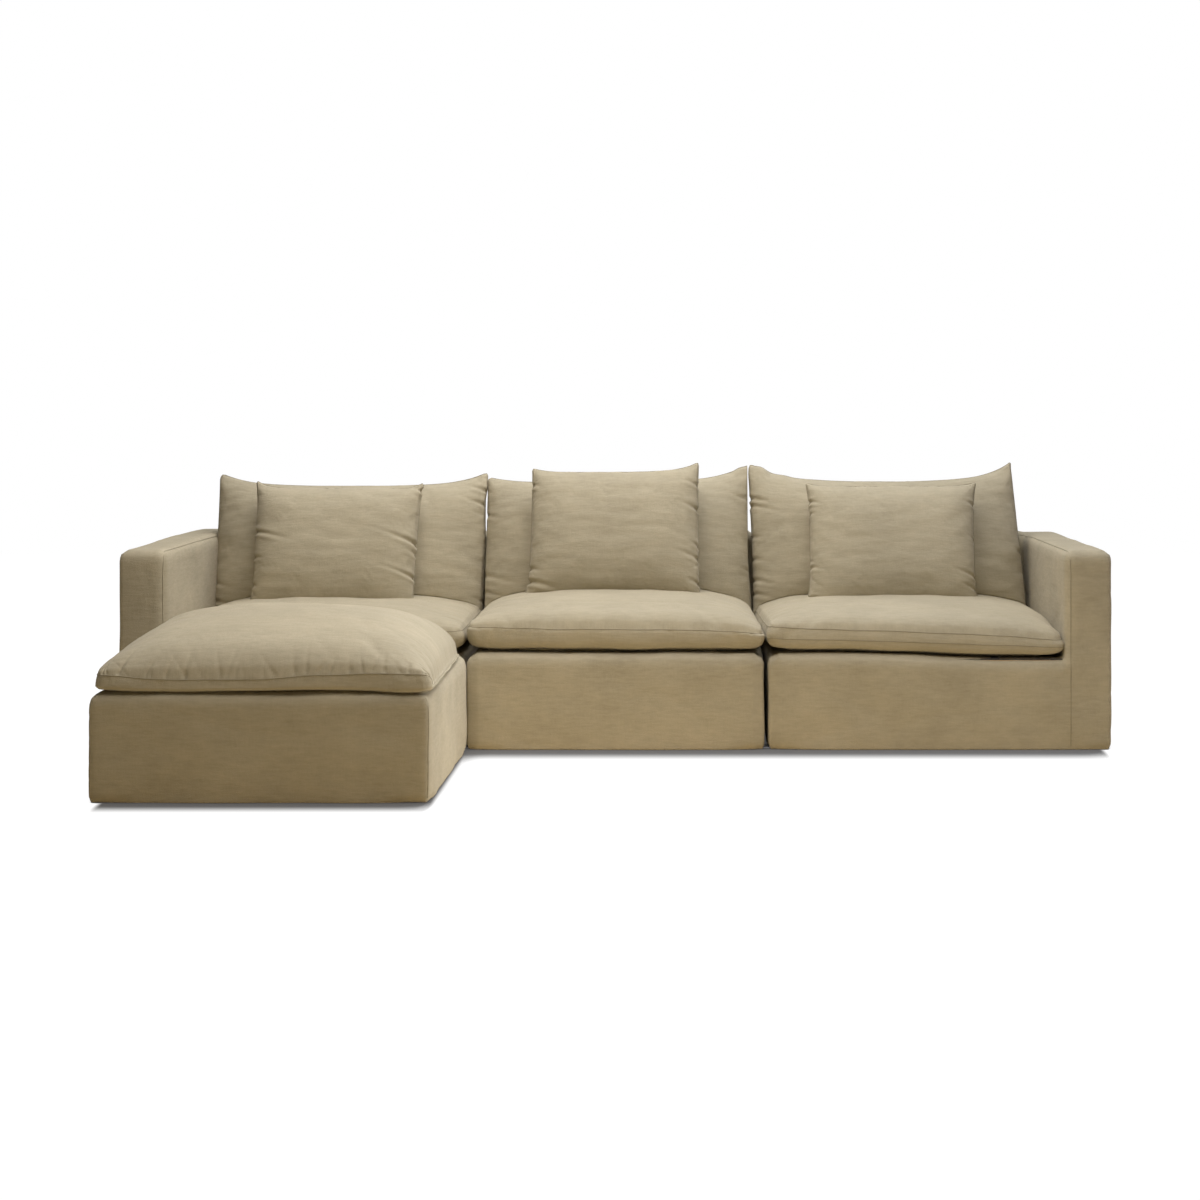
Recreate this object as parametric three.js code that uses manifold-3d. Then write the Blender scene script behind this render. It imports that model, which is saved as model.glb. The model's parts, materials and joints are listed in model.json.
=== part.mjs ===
// Slipcovered sectional sofa: three seat modules side by side, and a free-standing ottoman that makes the chaise.
// Millimetres. +X runs to the right as seen from the front, +Y to the back, +Z up. The floor is z = 0.
// The origin is on the floor, under the middle of the whole set.
import * as THREE from "three";
import { RoundedBoxGeometry } from "three/addons/geometries/RoundedBoxGeometry.js";
import { mergeVertices } from "three/addons/utils/BufferGeometryUtils.js";
import Module from "manifold-3d";

const wasm = await Module();
wasm.setup();

// Units in plan
const seatWidth = 950;
const armWidth = 140;
const moduleGap = 8;
const moduleDepth = 1050;
const backThickness = 170;
const ottomanWidth = 925;
const ottomanDepth = 922;
const ottomanGap = 0.4;

// Heights above the floor
const baseHeight = 300;
const armHeight = 635;
const footHeight = 45;
const hemHeight = 8;

// Fits
const clearance = 0.3;
const cutOverrun = 50;

// Slipcover: cloth with its wadding. The rounding is limited so that the sharp inner corner stays inside the wall.
const coverWall = 12;
const coverRounding = 24;
const coverRadius = Math.min(coverRounding, 2 * coverWall);
const coverArcSteps = 2;

// Timber frames
const railThickness = 28;
const blockSize = 110;
const blockHeight = 60;
const ladderBar = 40;
const ladderBays = 4;

// Webbing deck
const webThickness = 4;
const webWidth = 60;
const webCount = 5;

// Moulded foot, with a spigot that takes the link plate
const footTopRadius = 28;
const footFlangeRadius = 24;
const footFlangeHeight = 8;
const spigotRadius = 15;
const footSides = 12;

// Steel link plate
const plateThickness = 3;
const plateWidth = 64;
const plateArcSteps = 6;
const plateHoleClearance = 0.5;
const plateLift = 0.8;

// Seat cushions: a box-edged cushion with a sewn seam round its upper edge
const seatSeamHeight = 75;
const leftSeatCrown = 58;
const centreSeatCrown = 84;
const rightSeatCrown = 66;
const seatCrown = { left: leftSeatCrown, centre: centreSeatCrown, right: rightSeatCrown };
const seatSideGap = 1;
const seatCornerRadius = 30;
const seatUnderCut = 24;
const bandTurnShares = [0, 0.4, 0.75, 1];
const seatCrownPower = 3;
const seatCrownRoot = 0.4;
const ottomanSeamHeight = 46;
const ottomanCrown = 150;
const ottomanCrownPower = 2.8;
const ottomanCrownRoot = 0.46;
const ottomanCornerRadius = 70;
const ottomanCushionInset = 2;
const ottomanOverhangFront = 18;
const ottomanOverhangBack = 0;
const coreInset = 42;
const coreWrap = 14;
const coreCrownShare = 0.8;
const zipLength = 520;
const zipSlot = 4;

// The joints between cushions wander towards the left at the rear
const leftJointDrift = 12;
const rightJointDrift = 32;

// Back cushions: knife-edged, leaning on the padded back
const backCushionHeight = 490;
const backCushionThickness = 240;
const backCushionLean = 12;
const backCushionBite = 18;
const backCushionEndGap = 26;
const leftBackSink = 21;
const centreBackSink = 11;
const rightBackSink = -3;
const backSink = { left: leftBackSink, centre: centreBackSink, right: rightBackSink };
const backReachShare = 0.68;
const backDrawWidthShare = 0.02;
const backDrawHeightShare = 0.16;
const backSagShare = 0.16;

// Throw cushions: smaller knife-edged cushions, leaning on the back cushions
const throwWidth = 585;
const throwHeight = 442;
const throwThickness = 190;
const throwLean = 17;
const throwStandoff = 288;
const throwDrawWidthShare = 0.045;
const throwDrawHeightShare = 0.05;
const throwSagShare = 0.14;
const leftThrowShift = 26;
const centreThrowShift = 24;
const rightThrowShift = 26;
const throwShift = { left: leftThrowShift, centre: centreThrowShift, right: rightThrowShift };
const leftThrowSink = 19;
const centreThrowSink = 7;
const rightThrowSink = 39;
const throwSink = { left: leftThrowSink, centre: centreThrowSink, right: rightThrowSink };

const pillowDrawPower = 4;
const pillowCrownPower = 2.4;
const pillowCrownRoot = 0.52;
const pillowInsertShare = 0.8;
const pillowSteps = { across: 12, up: 8 };
const insertSteps = { across: 6, up: 4 };
const seatSteps = 10;
const coreSteps = 4;

// Worked out
const backInner = moduleDepth - backThickness;
const totalWidth = 3 * seatWidth + 2 * armWidth + 2 * moduleGap;
const totalDepth = moduleDepth + ottomanGap + ottomanDepth;
const frontY = ottomanDepth + ottomanGap - totalDepth / 2;
const webTop = baseHeight - coverWall - clearance;
const railTop = webTop - webThickness - clearance;
const frameTop = armHeight - coverWall - clearance;
const footInset = armWidth / 2;
const platform = baseHeight + clearance;

const linen = new THREE.MeshStandardMaterial({ color: 0xa99b7d, roughness: 0.95, metalness: 0 });
const timber = new THREE.MeshStandardMaterial({ color: 0xc9a877, roughness: 0.7, metalness: 0 });
const webbing = new THREE.MeshStandardMaterial({ color: 0x4a4640, roughness: 0.9, metalness: 0 });
const plastic = new THREE.MeshStandardMaterial({ color: 0x1c1b1a, roughness: 0.5, metalness: 0 });
const steel = new THREE.MeshStandardMaterial({ color: 0x8f9194, roughness: 0.4, metalness: 1 });
const foam = new THREE.MeshStandardMaterial({ color: 0xe9e2c9, roughness: 0.9, metalness: 0 });
const ticking = new THREE.MeshStandardMaterial({ color: 0xe6e1d6, roughness: 0.9, metalness: 0 });

// Turns a closed geometry into a solid that can be joined and cut.
function solidOf(geometry) {
  const plain = new THREE.BufferGeometry().setAttribute("position", geometry.getAttribute("position").clone());
  if (geometry.index) plain.setIndex(geometry.index);
  const merged = mergeVertices(plain, 1e-3);
  return new wasm.Manifold(
    new wasm.Mesh({
      numProp: 3,
      vertProperties: new Float32Array(merged.getAttribute("position").array),
      triVerts: new Uint32Array(merged.index.array),
    }),
  );
}

// Turns a solid back into a geometry with flat faces.
function geometryOf(solid) {
  const { vertProperties, triVerts } = solid.getMesh();
  const indexed = new THREE.BufferGeometry()
    .setAttribute("position", new THREE.BufferAttribute(new Float32Array(vertProperties), 3))
    .setIndex(new THREE.BufferAttribute(new Uint32Array(triVerts), 1));
  const flat = indexed.toNonIndexed();
  flat.computeVertexNormals();
  return flat;
}

// A plain block between two corners.
function block(low, high) {
  const size = high.map((value, axis) => value - low[axis]);
  const middle = high.map((value, axis) => (value + low[axis]) / 2);
  return new THREE.BoxGeometry(...size).translate(...middle);
}

// A block with rounded edges and corners.
function paddedBlock(low, high) {
  const size = high.map((value, axis) => value - low[axis]);
  const middle = high.map((value, axis) => (value + low[axis]) / 2);
  return new RoundedBoxGeometry(...size, coverArcSteps, coverRadius).translate(...middle);
}

function joined(geometries) {
  return geometries.map(solidOf).reduce((sum, solid) => sum.add(solid));
}

// The main body of a cut solid, without the slivers that grazing cuts leave.
function mainBody(solid) {
  return solid.decompose().reduce((best, piece) => (piece.volume() > best.volume() ? piece : best));
}

// A flat plate with rectangular windows cut through it.
function windowedPlate(width, height, thickness, windows) {
  const plate = solidOf(block([0, 0, 0], [width, height, thickness]));
  const cut = windows.reduce(
    (solid, [left, bottom, right, top]) =>
      solid.subtract(solidOf(block([left, bottom, -cutOverrun], [right, top, thickness + cutOverrun]))),
    plate,
  );
  return geometryOf(cut);
}

// A ladder frame lying flat: end bars, long rails and inner bars with open bays between them.
function ladder(length, height, thickness) {
  const bay = (length - (ladderBays + 1) * ladderBar) / ladderBays;
  const windows = Array.from({ length: ladderBays }, (_, i) => {
    const left = ladderBar + i * (bay + ladderBar);
    return [left, ladderBar, left + bay, height - ladderBar];
  });
  return windowedPlate(length, height, thickness, windows);
}

// Slipcover: the upholstered outline, hollow and open at the floor. Each block has a low and a high corner.
function coverGeometry(blocks) {
  const outside = joined(
    blocks.map(([low, high]) => paddedBlock([low[0], low[1], -cutOverrun], high)),
  );
  const inside = joined(
    blocks.map(([low, high]) =>
      block(
        [low[0] + coverWall, low[1] + coverWall, -2 * cutOverrun],
        [high[0] - coverWall, high[1] - coverWall, high[2] - coverWall],
      ),
    ),
  );
  const floor = solidOf(
    block(
      [-totalWidth, -totalDepth, -3 * cutOverrun],
      [totalWidth, totalDepth, hemHeight],
    ),
  );
  return geometryOf(outside.subtract(inside).subtract(floor));
}

// Base frame: four rails on edge, with a block in each corner for the feet.
function baseFrameGeometry(width, depth) {
  const height = railTop - footHeight;
  const ring = windowedPlate(width, depth, height, [
    [railThickness, railThickness, width - railThickness, depth - railThickness],
  ]);
  const corners = [0, width - blockSize].flatMap((x) =>
    [0, depth - blockSize].map((y) => block([x, y, 0], [x + blockSize, y + blockSize, blockHeight])),
  );
  return geometryOf(joined([ring, ...corners]));
}

// Webbing: straps both ways, with an edge strap stapled along each rail.
function webbingGeometry(width, depth) {
  const bayX = (width - webCount * webWidth) / (webCount - 1);
  const bayY = (depth - webCount * webWidth) / (webCount - 1);
  const windows = [];
  for (let i = 0; i < webCount - 1; i += 1) {
    for (let j = 0; j < webCount - 1; j += 1) {
      const left = webWidth + i * (bayX + webWidth);
      const bottom = webWidth + j * (bayY + webWidth);
      windows.push([left, bottom, left + bayX, bottom + bayY]);
    }
  }
  return windowedPlate(width, depth, webThickness, windows);
}

// Foot: a turned profile, with the spigot that the link plate drops over.
function footGeometry() {
  const spigotTop = plateLift + plateThickness;
  const profile = [
    [0, 0],
    [spigotRadius, 0],
    [spigotRadius, spigotTop],
    [footFlangeRadius, spigotTop],
    [footFlangeRadius, spigotTop + footFlangeHeight],
    [footTopRadius, footHeight - clearance],
    [0, footHeight - clearance],
  ];
  return new THREE.LatheGeometry(
    profile.map(([radius, z]) => new THREE.Vector2(radius, z)),
    footSides,
  ).rotateX(Math.PI / 2);
}

// Link plate: a steel strap with round ends and two holes, for the neighbouring feet of two modules.
function linkPlateGeometry(pitch) {
  const radius = plateWidth / 2;
  const outline = new THREE.Shape();
  outline.absarc(pitch / 2, 0, radius, -Math.PI / 2, Math.PI / 2, false);
  outline.absarc(-pitch / 2, 0, radius, Math.PI / 2, (3 * Math.PI) / 2, false);
  outline.closePath();
  for (const side of [-1, 1]) {
    const hole = new THREE.Path();
    hole.absarc((side * pitch) / 2, 0, spigotRadius + plateHoleClearance, 0, 2 * Math.PI, true);
    outline.holes.push(hole);
  }
  return new THREE.ExtrudeGeometry(outline, { depth: plateThickness, bevelEnabled: false, curveSegments: plateArcSteps });
}

// Values from -1 to 1, closer together at the ends, where the surface bends most.
function edgeSpaced(count) {
  return Array.from({ length: count + 1 }, (_, i) => Math.sin((Math.PI / 2) * ((2 * i) / count - 1)));
}

// How full a cushion is at (u, v), from 0 at its edge to 1 in the middle.
function fullness(u, v, power, root) {
  return Math.max(0, (1 - Math.abs(u) ** power) * (1 - Math.abs(v) ** power)) ** root;
}

// Two triangles of a grid cell, split from the corner of the cushion inwards.
function cellTriangles(a, b, c, d, towardsCorner) {
  return towardsCorner ? [a, b, c, a, c, d] : [a, b, d, b, c, d];
}

// A knife-edged cushion, standing in the XZ plane about its centre, with its front towards -Y.
function pillowGeometry(width, height, thickness, drawX, drawZ, sag, steps) {
  const us = edgeSpaced(steps.across);
  const vs = edgeSpaced(steps.up);
  const positions = [];
  const point = (u, v, side) => {
    const full = fullness(u, v, pillowCrownPower, pillowCrownRoot);
    positions.push(
      (width / 2) * u * (1 - drawX * (1 - v * v) * u * u),
      (side * thickness * full * (1 - sag * v)) / 2,
      (height / 2) * v * (1 - drawZ * (1 - u ** pillowDrawPower) * v * v),
    );
  };
  for (const side of [-1, 1]) {
    for (const v of vs) {
      for (const u of us) point(u, v, side);
    }
  }
  const row = us.length;
  const sheet = row * vs.length;
  const index = [];
  for (let j = 0; j < vs.length - 1; j += 1) {
    for (let i = 0; i < us.length - 1; i += 1) {
      const corner = i < steps.across / 2 === j < steps.up / 2;
      const a = j * row + i;
      const cell = cellTriangles(a, a + 1, a + row + 1, a + row, corner);
      index.push(...cell);
      index.push(...cell.map((k) => k + sheet).reverse());
    }
  }
  return new THREE.BufferGeometry()
    .setAttribute("position", new THREE.BufferAttribute(new Float32Array(positions), 3))
    .setIndex(index);
}

// A box-edged cushion: a crowned top, a band that curves in under the seam, and a flat bottom at z = 0.
// Its plan is a four-sided outline with rounded corners, given by where its sides lie at the front and the back.
function boxCushionGeometry(plan, seam, crown, power, root, steps) {
  const ts = edgeSpaced(steps);
  const bandTurns = bandTurnShares.map((share) => (share * Math.PI) / 2);
  const positions = [];
  const place = (u, v, z, inset) => {
    const depth = plan.back - plan.front - 2 * inset;
    const y = plan.front + inset + ((v + 1) * depth) / 2;
    const along = (y - plan.front) / (plan.back - plan.front);
    const left = plan.leftFront + (plan.leftBack - plan.leftFront) * along + inset;
    const right = plan.rightFront + (plan.rightBack - plan.rightFront) * along - inset;
    const radius = plan.corner;
    const cornerU = Math.max(0, (Math.abs(u) - 1) * ((right - left) / 2 / radius) + 1);
    const cornerV = Math.max(0, (Math.abs(v) - 1) * (depth / 2 / radius) + 1);
    const pullU = cornerU * (1 - Math.sqrt(1 - (cornerV * cornerV) / 2));
    const pullV = cornerV * (1 - Math.sqrt(1 - (cornerU * cornerU) / 2));
    positions.push(
      (left + right) / 2 + (u * (right - left)) / 2 - Math.sign(u) * pullU * radius,
      y - Math.sign(v) * pullV * radius,
      z,
    );
  };
  const index = [];
  const row = ts.length;
  for (const v of ts) {
    for (const u of ts) place(u, v, seam + crown * fullness(u, v, power, root), 0);
  }
  for (let j = 0; j < steps; j += 1) {
    for (let i = 0; i < steps; i += 1) {
      const a = j * row + i;
      const corner = i < steps / 2 === j < steps / 2;
      index.push(...cellTriangles(a, a + 1, a + row + 1, a + row, corner));
    }
  }
  const around = [
    ...ts.slice(0, -1).map((t) => [t, -1]),
    ...ts.slice(0, -1).map((t) => [1, t]),
    ...ts.slice(1).reverse().map((t) => [t, 1]),
    ...ts.slice(1).reverse().map((t) => [-1, t]),
  ];
  const bandStart = positions.length / 3;
  for (const turn of bandTurns) {
    for (const [u, v] of around) {
      place(u, v, seam * (1 - Math.sin(turn)), seatUnderCut * (1 - Math.cos(turn)));
    }
  }
  const loop = around.length;
  for (let ring = 0; ring < bandTurns.length - 1; ring += 1) {
    for (let k = 0; k < loop; k += 1) {
      const a = bandStart + ring * loop + k;
      const b = bandStart + ring * loop + ((k + 1) % loop);
      index.push(a, a + loop, b + loop, a, b + loop, b);
    }
  }
  const lastRing = bandStart + (bandTurns.length - 1) * loop;
  place(0, 0, 0, seatUnderCut);
  const hub = positions.length / 3 - 1;
  for (let k = 0; k < loop; k += 1) {
    index.push(lastRing + k, hub, lastRing + ((k + 1) % loop));
  }
  return new THREE.BufferGeometry()
    .setAttribute("position", new THREE.BufferAttribute(new Float32Array(positions), 3))
    .setIndex(index);
}

function named(name, geometry, material, x = 0, y = 0, z = 0) {
  const mesh = new THREE.Mesh(geometry, material);
  mesh.name = name;
  mesh.position.set(x, y, z);
  return mesh;
}

// The same plan, drawn in on every side.
function drawnIn(plan, inset) {
  return {
    front: plan.front + inset,
    back: plan.back - inset,
    leftFront: plan.leftFront + inset,
    leftBack: plan.leftBack + inset,
    rightFront: plan.rightFront - inset,
    rightBack: plan.rightBack - inset,
    corner: plan.corner,
  };
}

// A seat cushion on a platform: the cover with its wrap of feathers, hollow for the foam core, and the core.
function seatCushion(name, coreName, plan, seam, crown, power, root) {
  const outside = solidOf(boxCushionGeometry(plan, seam, crown, power, root, seatSteps));
  const shapedCore = (fit) =>
    boxCushionGeometry(
      drawnIn(plan, coreInset + fit),
      seam - coreWrap - 2 * fit,
      crown * coreCrownShare,
      power,
      root,
      coreSteps,
    ).translate(0, 0, coreWrap / 2 + fit);
  const middle = (plan.leftBack + plan.rightBack) / 2;
  const zip = block(
    [middle - zipLength / 2, plan.back - coreInset - cutOverrun, (seam - zipSlot) / 2],
    [middle + zipLength / 2, plan.back + cutOverrun, (seam + zipSlot) / 2],
  );
  return {
    solid: outside,
    meshes: [
      named(name, geometryOf(outside.subtract(joined([shapedCore(0), zip]))), linen, 0, 0, platform),
      named(coreName, shapedCore(clearance), foam, 0, 0, platform),
    ],
  };
}

// How high a leaning cushion's middle stands above its lower edge, as a share of its height.
function uprightShare(lean) {
  return Math.cos(THREE.MathUtils.degToRad(lean)) / 2;
}

// A knife-edged cushion with its feather insert, leant back and set in place, then pressed by what it rests on.
function leaningCushion(name, insertName, size, place, presses) {
  const seat = new THREE.Matrix4()
    .makeTranslation(place.x, place.y, place.z)
    .multiply(new THREE.Matrix4().makeRotationX(-THREE.MathUtils.degToRad(place.lean)));
  const shaped = (scale, steps) =>
    pillowGeometry(
      size.width * scale,
      size.height * scale,
      size.thickness * scale,
      size.drawX,
      size.drawZ,
      size.sag,
      steps,
    ).applyMatrix4(seat);
  const pressed = presses.reduce((solid, press) => solid.subtract(press), solidOf(shaped(1, pillowSteps)));
  const insertShare = pillowInsertShare - (4 * clearance) / size.thickness;
  const zip = block(
    [-zipLength / 2, -zipSlot / 2, -size.height],
    [zipLength / 2, zipSlot / 2, 0],
  ).applyMatrix4(seat);
  const insert = presses.reduce(
    (solid, press) => solid.subtract(press.translate([0, -coverWall, coverWall])),
    solidOf(shaped(insertShare, insertSteps)),
  );
  const room = presses.reduce(
    (solid, press) => solid.subtract(press.translate([0, -coverWall + clearance, coverWall - clearance])),
    solidOf(shaped(pillowInsertShare, insertSteps)),
  );
  return {
    solid: pressed,
    meshes: [
      named(name, geometryOf(mainBody(pressed.subtract(room).subtract(solidOf(zip)))), linen),
      named(insertName, geometryOf(mainBody(insert)), ticking),
    ],
  };
}

// One unit's four feet, at the corners of its outline.
function feet(prefix, left, right, depth) {
  const spots = [left + footInset, right - footInset].flatMap((x) => [footInset, depth - footInset].map((y) => [x, y]));
  return spots.map(([x, y], i) => named(`${prefix}_foot_${i + 1}`, footGeometry(), plastic, x, y, 0));
}

// A seat module. Its own x runs from 0 to seatWidth across the seat, with an arm outside that where it has one.
// armSide is -1 for an arm on the left, 1 for the right and 0 for none.
function seatModule(name, armSide, plan) {
  const group = new THREE.Group();
  const left = armSide < 0 ? -armWidth : 0;
  const right = armSide > 0 ? seatWidth + armWidth : seatWidth;
  const armLeft = armSide < 0 ? -armWidth : seatWidth;
  const blocks = [
    [[left, 0], [right, moduleDepth, baseHeight]],
    [[left, backInner], [right, moduleDepth, armHeight]],
  ];
  if (armSide !== 0) blocks.push([[armLeft, 0], [armLeft + armWidth, moduleDepth, armHeight]]);
  group.add(named(`${name}_cover`, coverGeometry(blocks), linen));

  const sideInset = coverWall + clearance;
  const frameLeft = armSide < 0 ? -coverWall : sideInset;
  const frameRight = armSide > 0 ? seatWidth + coverWall : seatWidth - sideInset;
  const frameWidth = frameRight - frameLeft;
  const frameDepth = backInner + coverWall - sideInset;
  group.add(
    named(`${name}_base_frame`, baseFrameGeometry(frameWidth, frameDepth), timber, frameLeft, sideInset, footHeight),
    named(
      `${name}_webbing`,
      webbingGeometry(frameWidth, frameDepth),
      webbing,
      frameLeft,
      sideInset,
      railTop + clearance,
    ),
    named(
      `${name}_back_frame`,
      ladder(frameWidth, frameTop - footHeight, backThickness - 2 * sideInset).rotateX(Math.PI / 2),
      timber,
      frameLeft,
      moduleDepth - sideInset,
      footHeight,
    ),
  );
  if (armSide !== 0) {
    group.add(
      named(
        `${name}_arm_frame`,
        ladder(moduleDepth - 2 * sideInset, frameTop - footHeight, armWidth - 2 * sideInset)
          .rotateX(Math.PI / 2)
          .rotateZ(Math.PI / 2),
        timber,
        armLeft + sideInset,
        sideInset,
        footHeight,
      ),
    );
  }
  group.add(...feet(name, left, right, moduleDepth));

  const seat = seatCushion(
    `${name}_seat_cushion`,
    `${name}_seat_core`,
    plan,
    seatSeamHeight,
    seatCrown[name],
    seatCrownPower,
    seatCrownRoot,
  );
  group.add(...seat.meshes);

  const belowSeam = solidOf(
    block(
      [-totalWidth, -cutOverrun, -cutOverrun],
      [totalWidth, moduleDepth + cutOverrun, platform + seatSeamHeight + clearance],
    ),
  );
  const seatPress = seat.solid.translate([0, 0, platform + clearance]).add(belowSeam);
  const backPress = solidOf(
    block(
      [-totalWidth, backInner - clearance, -cutOverrun],
      [totalWidth, moduleDepth + cutOverrun, armHeight + clearance],
    ),
  );
  const backLeft = plan.leftFront + (plan.leftBack - plan.leftFront) * backReachShare;
  const backRight = plan.rightBack - (armSide > 0 ? backCushionEndGap : 0);
  const back = leaningCushion(
    `${name}_back_cushion`,
    `${name}_back_insert`,
    {
      width: backRight - backLeft,
      height: backCushionHeight,
      thickness: backCushionThickness,
      drawX: backDrawWidthShare,
      drawZ: backDrawHeightShare,
      sag: backSagShare,
    },
    {
      x: (backLeft + backRight) / 2,
      y: backInner - backCushionThickness / 2 + backCushionBite,
      z: platform + seatSeamHeight + uprightShare(backCushionLean) * backCushionHeight - backSink[name],
      lean: backCushionLean,
    },
    [seatPress, backPress],
  );
  group.add(...back.meshes);

  const frontPress = back.solid.translate([0, -clearance, 0]);
  const loose = leaningCushion(
    `${name}_throw_cushion`,
    `${name}_throw_insert`,
    {
      width: throwWidth,
      height: throwHeight,
      thickness: throwThickness,
      drawX: throwDrawWidthShare,
      drawZ: throwDrawHeightShare,
      sag: throwSagShare,
    },
    {
      x: seatWidth / 2 - throwShift[name],
      y: backInner - throwStandoff,
      z: platform + seatSeamHeight + seatCrown[name] + uprightShare(throwLean) * throwHeight - throwSink[name],
      lean: throwLean,
    },
    [seatPress, frontPress],
  );
  group.add(...loose.meshes);
  return group;
}

// The ottoman: a low unit with one cushion, which stands a little to one side on its platform.
function ottoman() {
  const group = new THREE.Group();
  const sideInset = coverWall + clearance;
  const frameWidth = ottomanWidth - 2 * sideInset;
  const frameDepth = ottomanDepth - 2 * sideInset;
  const plan = {
    front: seatSideGap,
    back: ottomanDepth - seatSideGap,
    leftFront: ottomanCushionInset,
    leftBack: ottomanCushionInset,
    rightFront: ottomanWidth + ottomanOverhangFront,
    rightBack: ottomanWidth + ottomanOverhangBack,
    corner: ottomanCornerRadius,
  };
  group.add(
    named("chaise_cover", coverGeometry([[[0, 0], [ottomanWidth, ottomanDepth, baseHeight]]]), linen),
    named("chaise_base_frame", baseFrameGeometry(frameWidth, frameDepth), timber, sideInset, sideInset, footHeight),
    named(
      "chaise_webbing",
      webbingGeometry(frameWidth, frameDepth),
      webbing,
      sideInset,
      sideInset,
      railTop + clearance,
    ),
    ...feet("chaise", 0, ottomanWidth, ottomanDepth),
    ...seatCushion(
      "chaise_cushion",
      "chaise_core",
      plan,
      ottomanSeamHeight,
      ottomanCrown,
      ottomanCrownPower,
      ottomanCrownRoot,
    ).meshes,
  );
  return group;
}

// Where the cushions of one module lie in plan, between its neighbours or its arm.
function seatPlan(leftFront, leftBack, rightFront, rightBack) {
  return {
    front: seatSideGap,
    back: backInner - seatSideGap,
    leftFront: leftFront + seatSideGap,
    leftBack: leftBack + seatSideGap,
    rightFront: rightFront - seatSideGap,
    rightBack: rightBack - seatSideGap,
    corner: seatCornerRadius,
  };
}

const sofa = new THREE.Group();
const pitch = seatWidth + moduleGap;
const halfGap = moduleGap / 2;
const joint = seatWidth + halfGap;
const modules = [
  seatModule("left", -1, seatPlan(0, 0, joint, joint - leftJointDrift)),
  seatModule("centre", 0, seatPlan(-halfGap, -halfGap - leftJointDrift, joint, joint - rightJointDrift)),
  seatModule("right", 1, seatPlan(-halfGap, -halfGap - rightJointDrift, seatWidth, seatWidth)),
];
modules.forEach((module, i) => {
  module.position.set(armWidth - totalWidth / 2 + i * pitch, frontY, 0);
  sofa.add(module);
});

const chaise = ottoman();
const leftModuleRight = armWidth + seatWidth - totalWidth / 2;
chaise.position.set(leftModuleRight - ottomanWidth, -totalDepth / 2, 0);
sofa.add(chaise);

// Link plates at the front and the back of both joints between modules
[0, 1].forEach((i) => {
  const seamX = armWidth - totalWidth / 2 + i * pitch + joint;
  [footInset, moduleDepth - footInset].forEach((y, j) => {
    const plate = linkPlateGeometry(2 * footInset + moduleGap);
    sofa.add(named(`link_plate_${2 * i + j + 1}`, plate, steel, seamX, frontY + y, plateLift / 2));
  });
});

export default sofa;
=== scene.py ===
import json
import math

import bmesh
import bpy
import numpy as np
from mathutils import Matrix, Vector
from mathutils.bvhtree import BVHTree
from mathutils.kdtree import KDTree

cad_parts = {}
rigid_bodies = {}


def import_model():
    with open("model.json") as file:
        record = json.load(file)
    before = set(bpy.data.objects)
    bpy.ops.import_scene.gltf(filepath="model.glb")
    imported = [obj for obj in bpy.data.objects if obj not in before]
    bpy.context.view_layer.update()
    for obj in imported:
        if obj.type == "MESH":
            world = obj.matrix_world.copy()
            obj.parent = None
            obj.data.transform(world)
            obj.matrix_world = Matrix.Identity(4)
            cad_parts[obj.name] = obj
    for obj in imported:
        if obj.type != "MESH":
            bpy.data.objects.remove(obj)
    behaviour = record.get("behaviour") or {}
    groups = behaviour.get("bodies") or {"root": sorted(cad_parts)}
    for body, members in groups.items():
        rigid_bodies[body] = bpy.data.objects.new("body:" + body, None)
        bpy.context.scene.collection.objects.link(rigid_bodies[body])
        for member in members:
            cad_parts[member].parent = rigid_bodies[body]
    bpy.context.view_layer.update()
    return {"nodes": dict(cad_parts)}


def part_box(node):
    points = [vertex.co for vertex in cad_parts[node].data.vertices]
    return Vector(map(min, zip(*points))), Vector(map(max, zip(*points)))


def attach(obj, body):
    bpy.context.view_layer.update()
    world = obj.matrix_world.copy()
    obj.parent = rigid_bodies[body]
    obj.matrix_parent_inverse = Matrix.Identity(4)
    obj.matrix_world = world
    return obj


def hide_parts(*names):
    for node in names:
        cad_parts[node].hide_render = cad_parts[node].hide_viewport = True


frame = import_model()
scene = bpy.context.scene
scene.view_settings.view_transform = "Standard"


# Studio floor
# A plain pale floor that throws a warm light back up. It shows white to the camera by a glow, which is turned
# down round the sofa as a painted soft shadow; a faint real shadow shows in its dark grey coat as well.
def material(name):
    made = bpy.data.materials.new(name)
    made.use_nodes = True
    made.node_tree.nodes.clear()
    return made, made.node_tree


def node(tree, kind, sockets=None, **settings):
    """A node with its properties set, and its unlinked sockets given by name or number."""
    made = tree.nodes.new(kind)
    for key, value in settings.items():
        setattr(made, key, value)
    for key, value in (sockets or {}).items():
        if isinstance(value, bpy.types.NodeSocket):
            tree.links.new(value, made.inputs[key])
        else:
            made.inputs[key].default_value = value
    return made


def calc(tree, operation, *values):
    """The result of one sum on numbers."""
    return node(tree, "ShaderNodeMath", dict(enumerate(values)), operation=operation).outputs[0]


def vector_calc(tree, operation, *values):
    return node(tree, "ShaderNodeVectorMath", dict(enumerate(values)), operation=operation).outputs[0]


def mapped(tree, value, low, high, first=0.0, last=1.0, bend="LINEAR"):
    """A value moved from the span low to high to the span first to last, and held at its ends."""
    sockets = {"Value": value, 1: low, 2: high, 3: first, 4: last}
    return node(tree, "ShaderNodeMapRange", sockets, interpolation_type=bend).outputs[0]


def mixed(tree, share, first, last):
    """One colour turning into another."""
    return node(tree, "ShaderNodeMix", {0: share, 6: first, 7: last}, data_type="RGBA").outputs[2]


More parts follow.
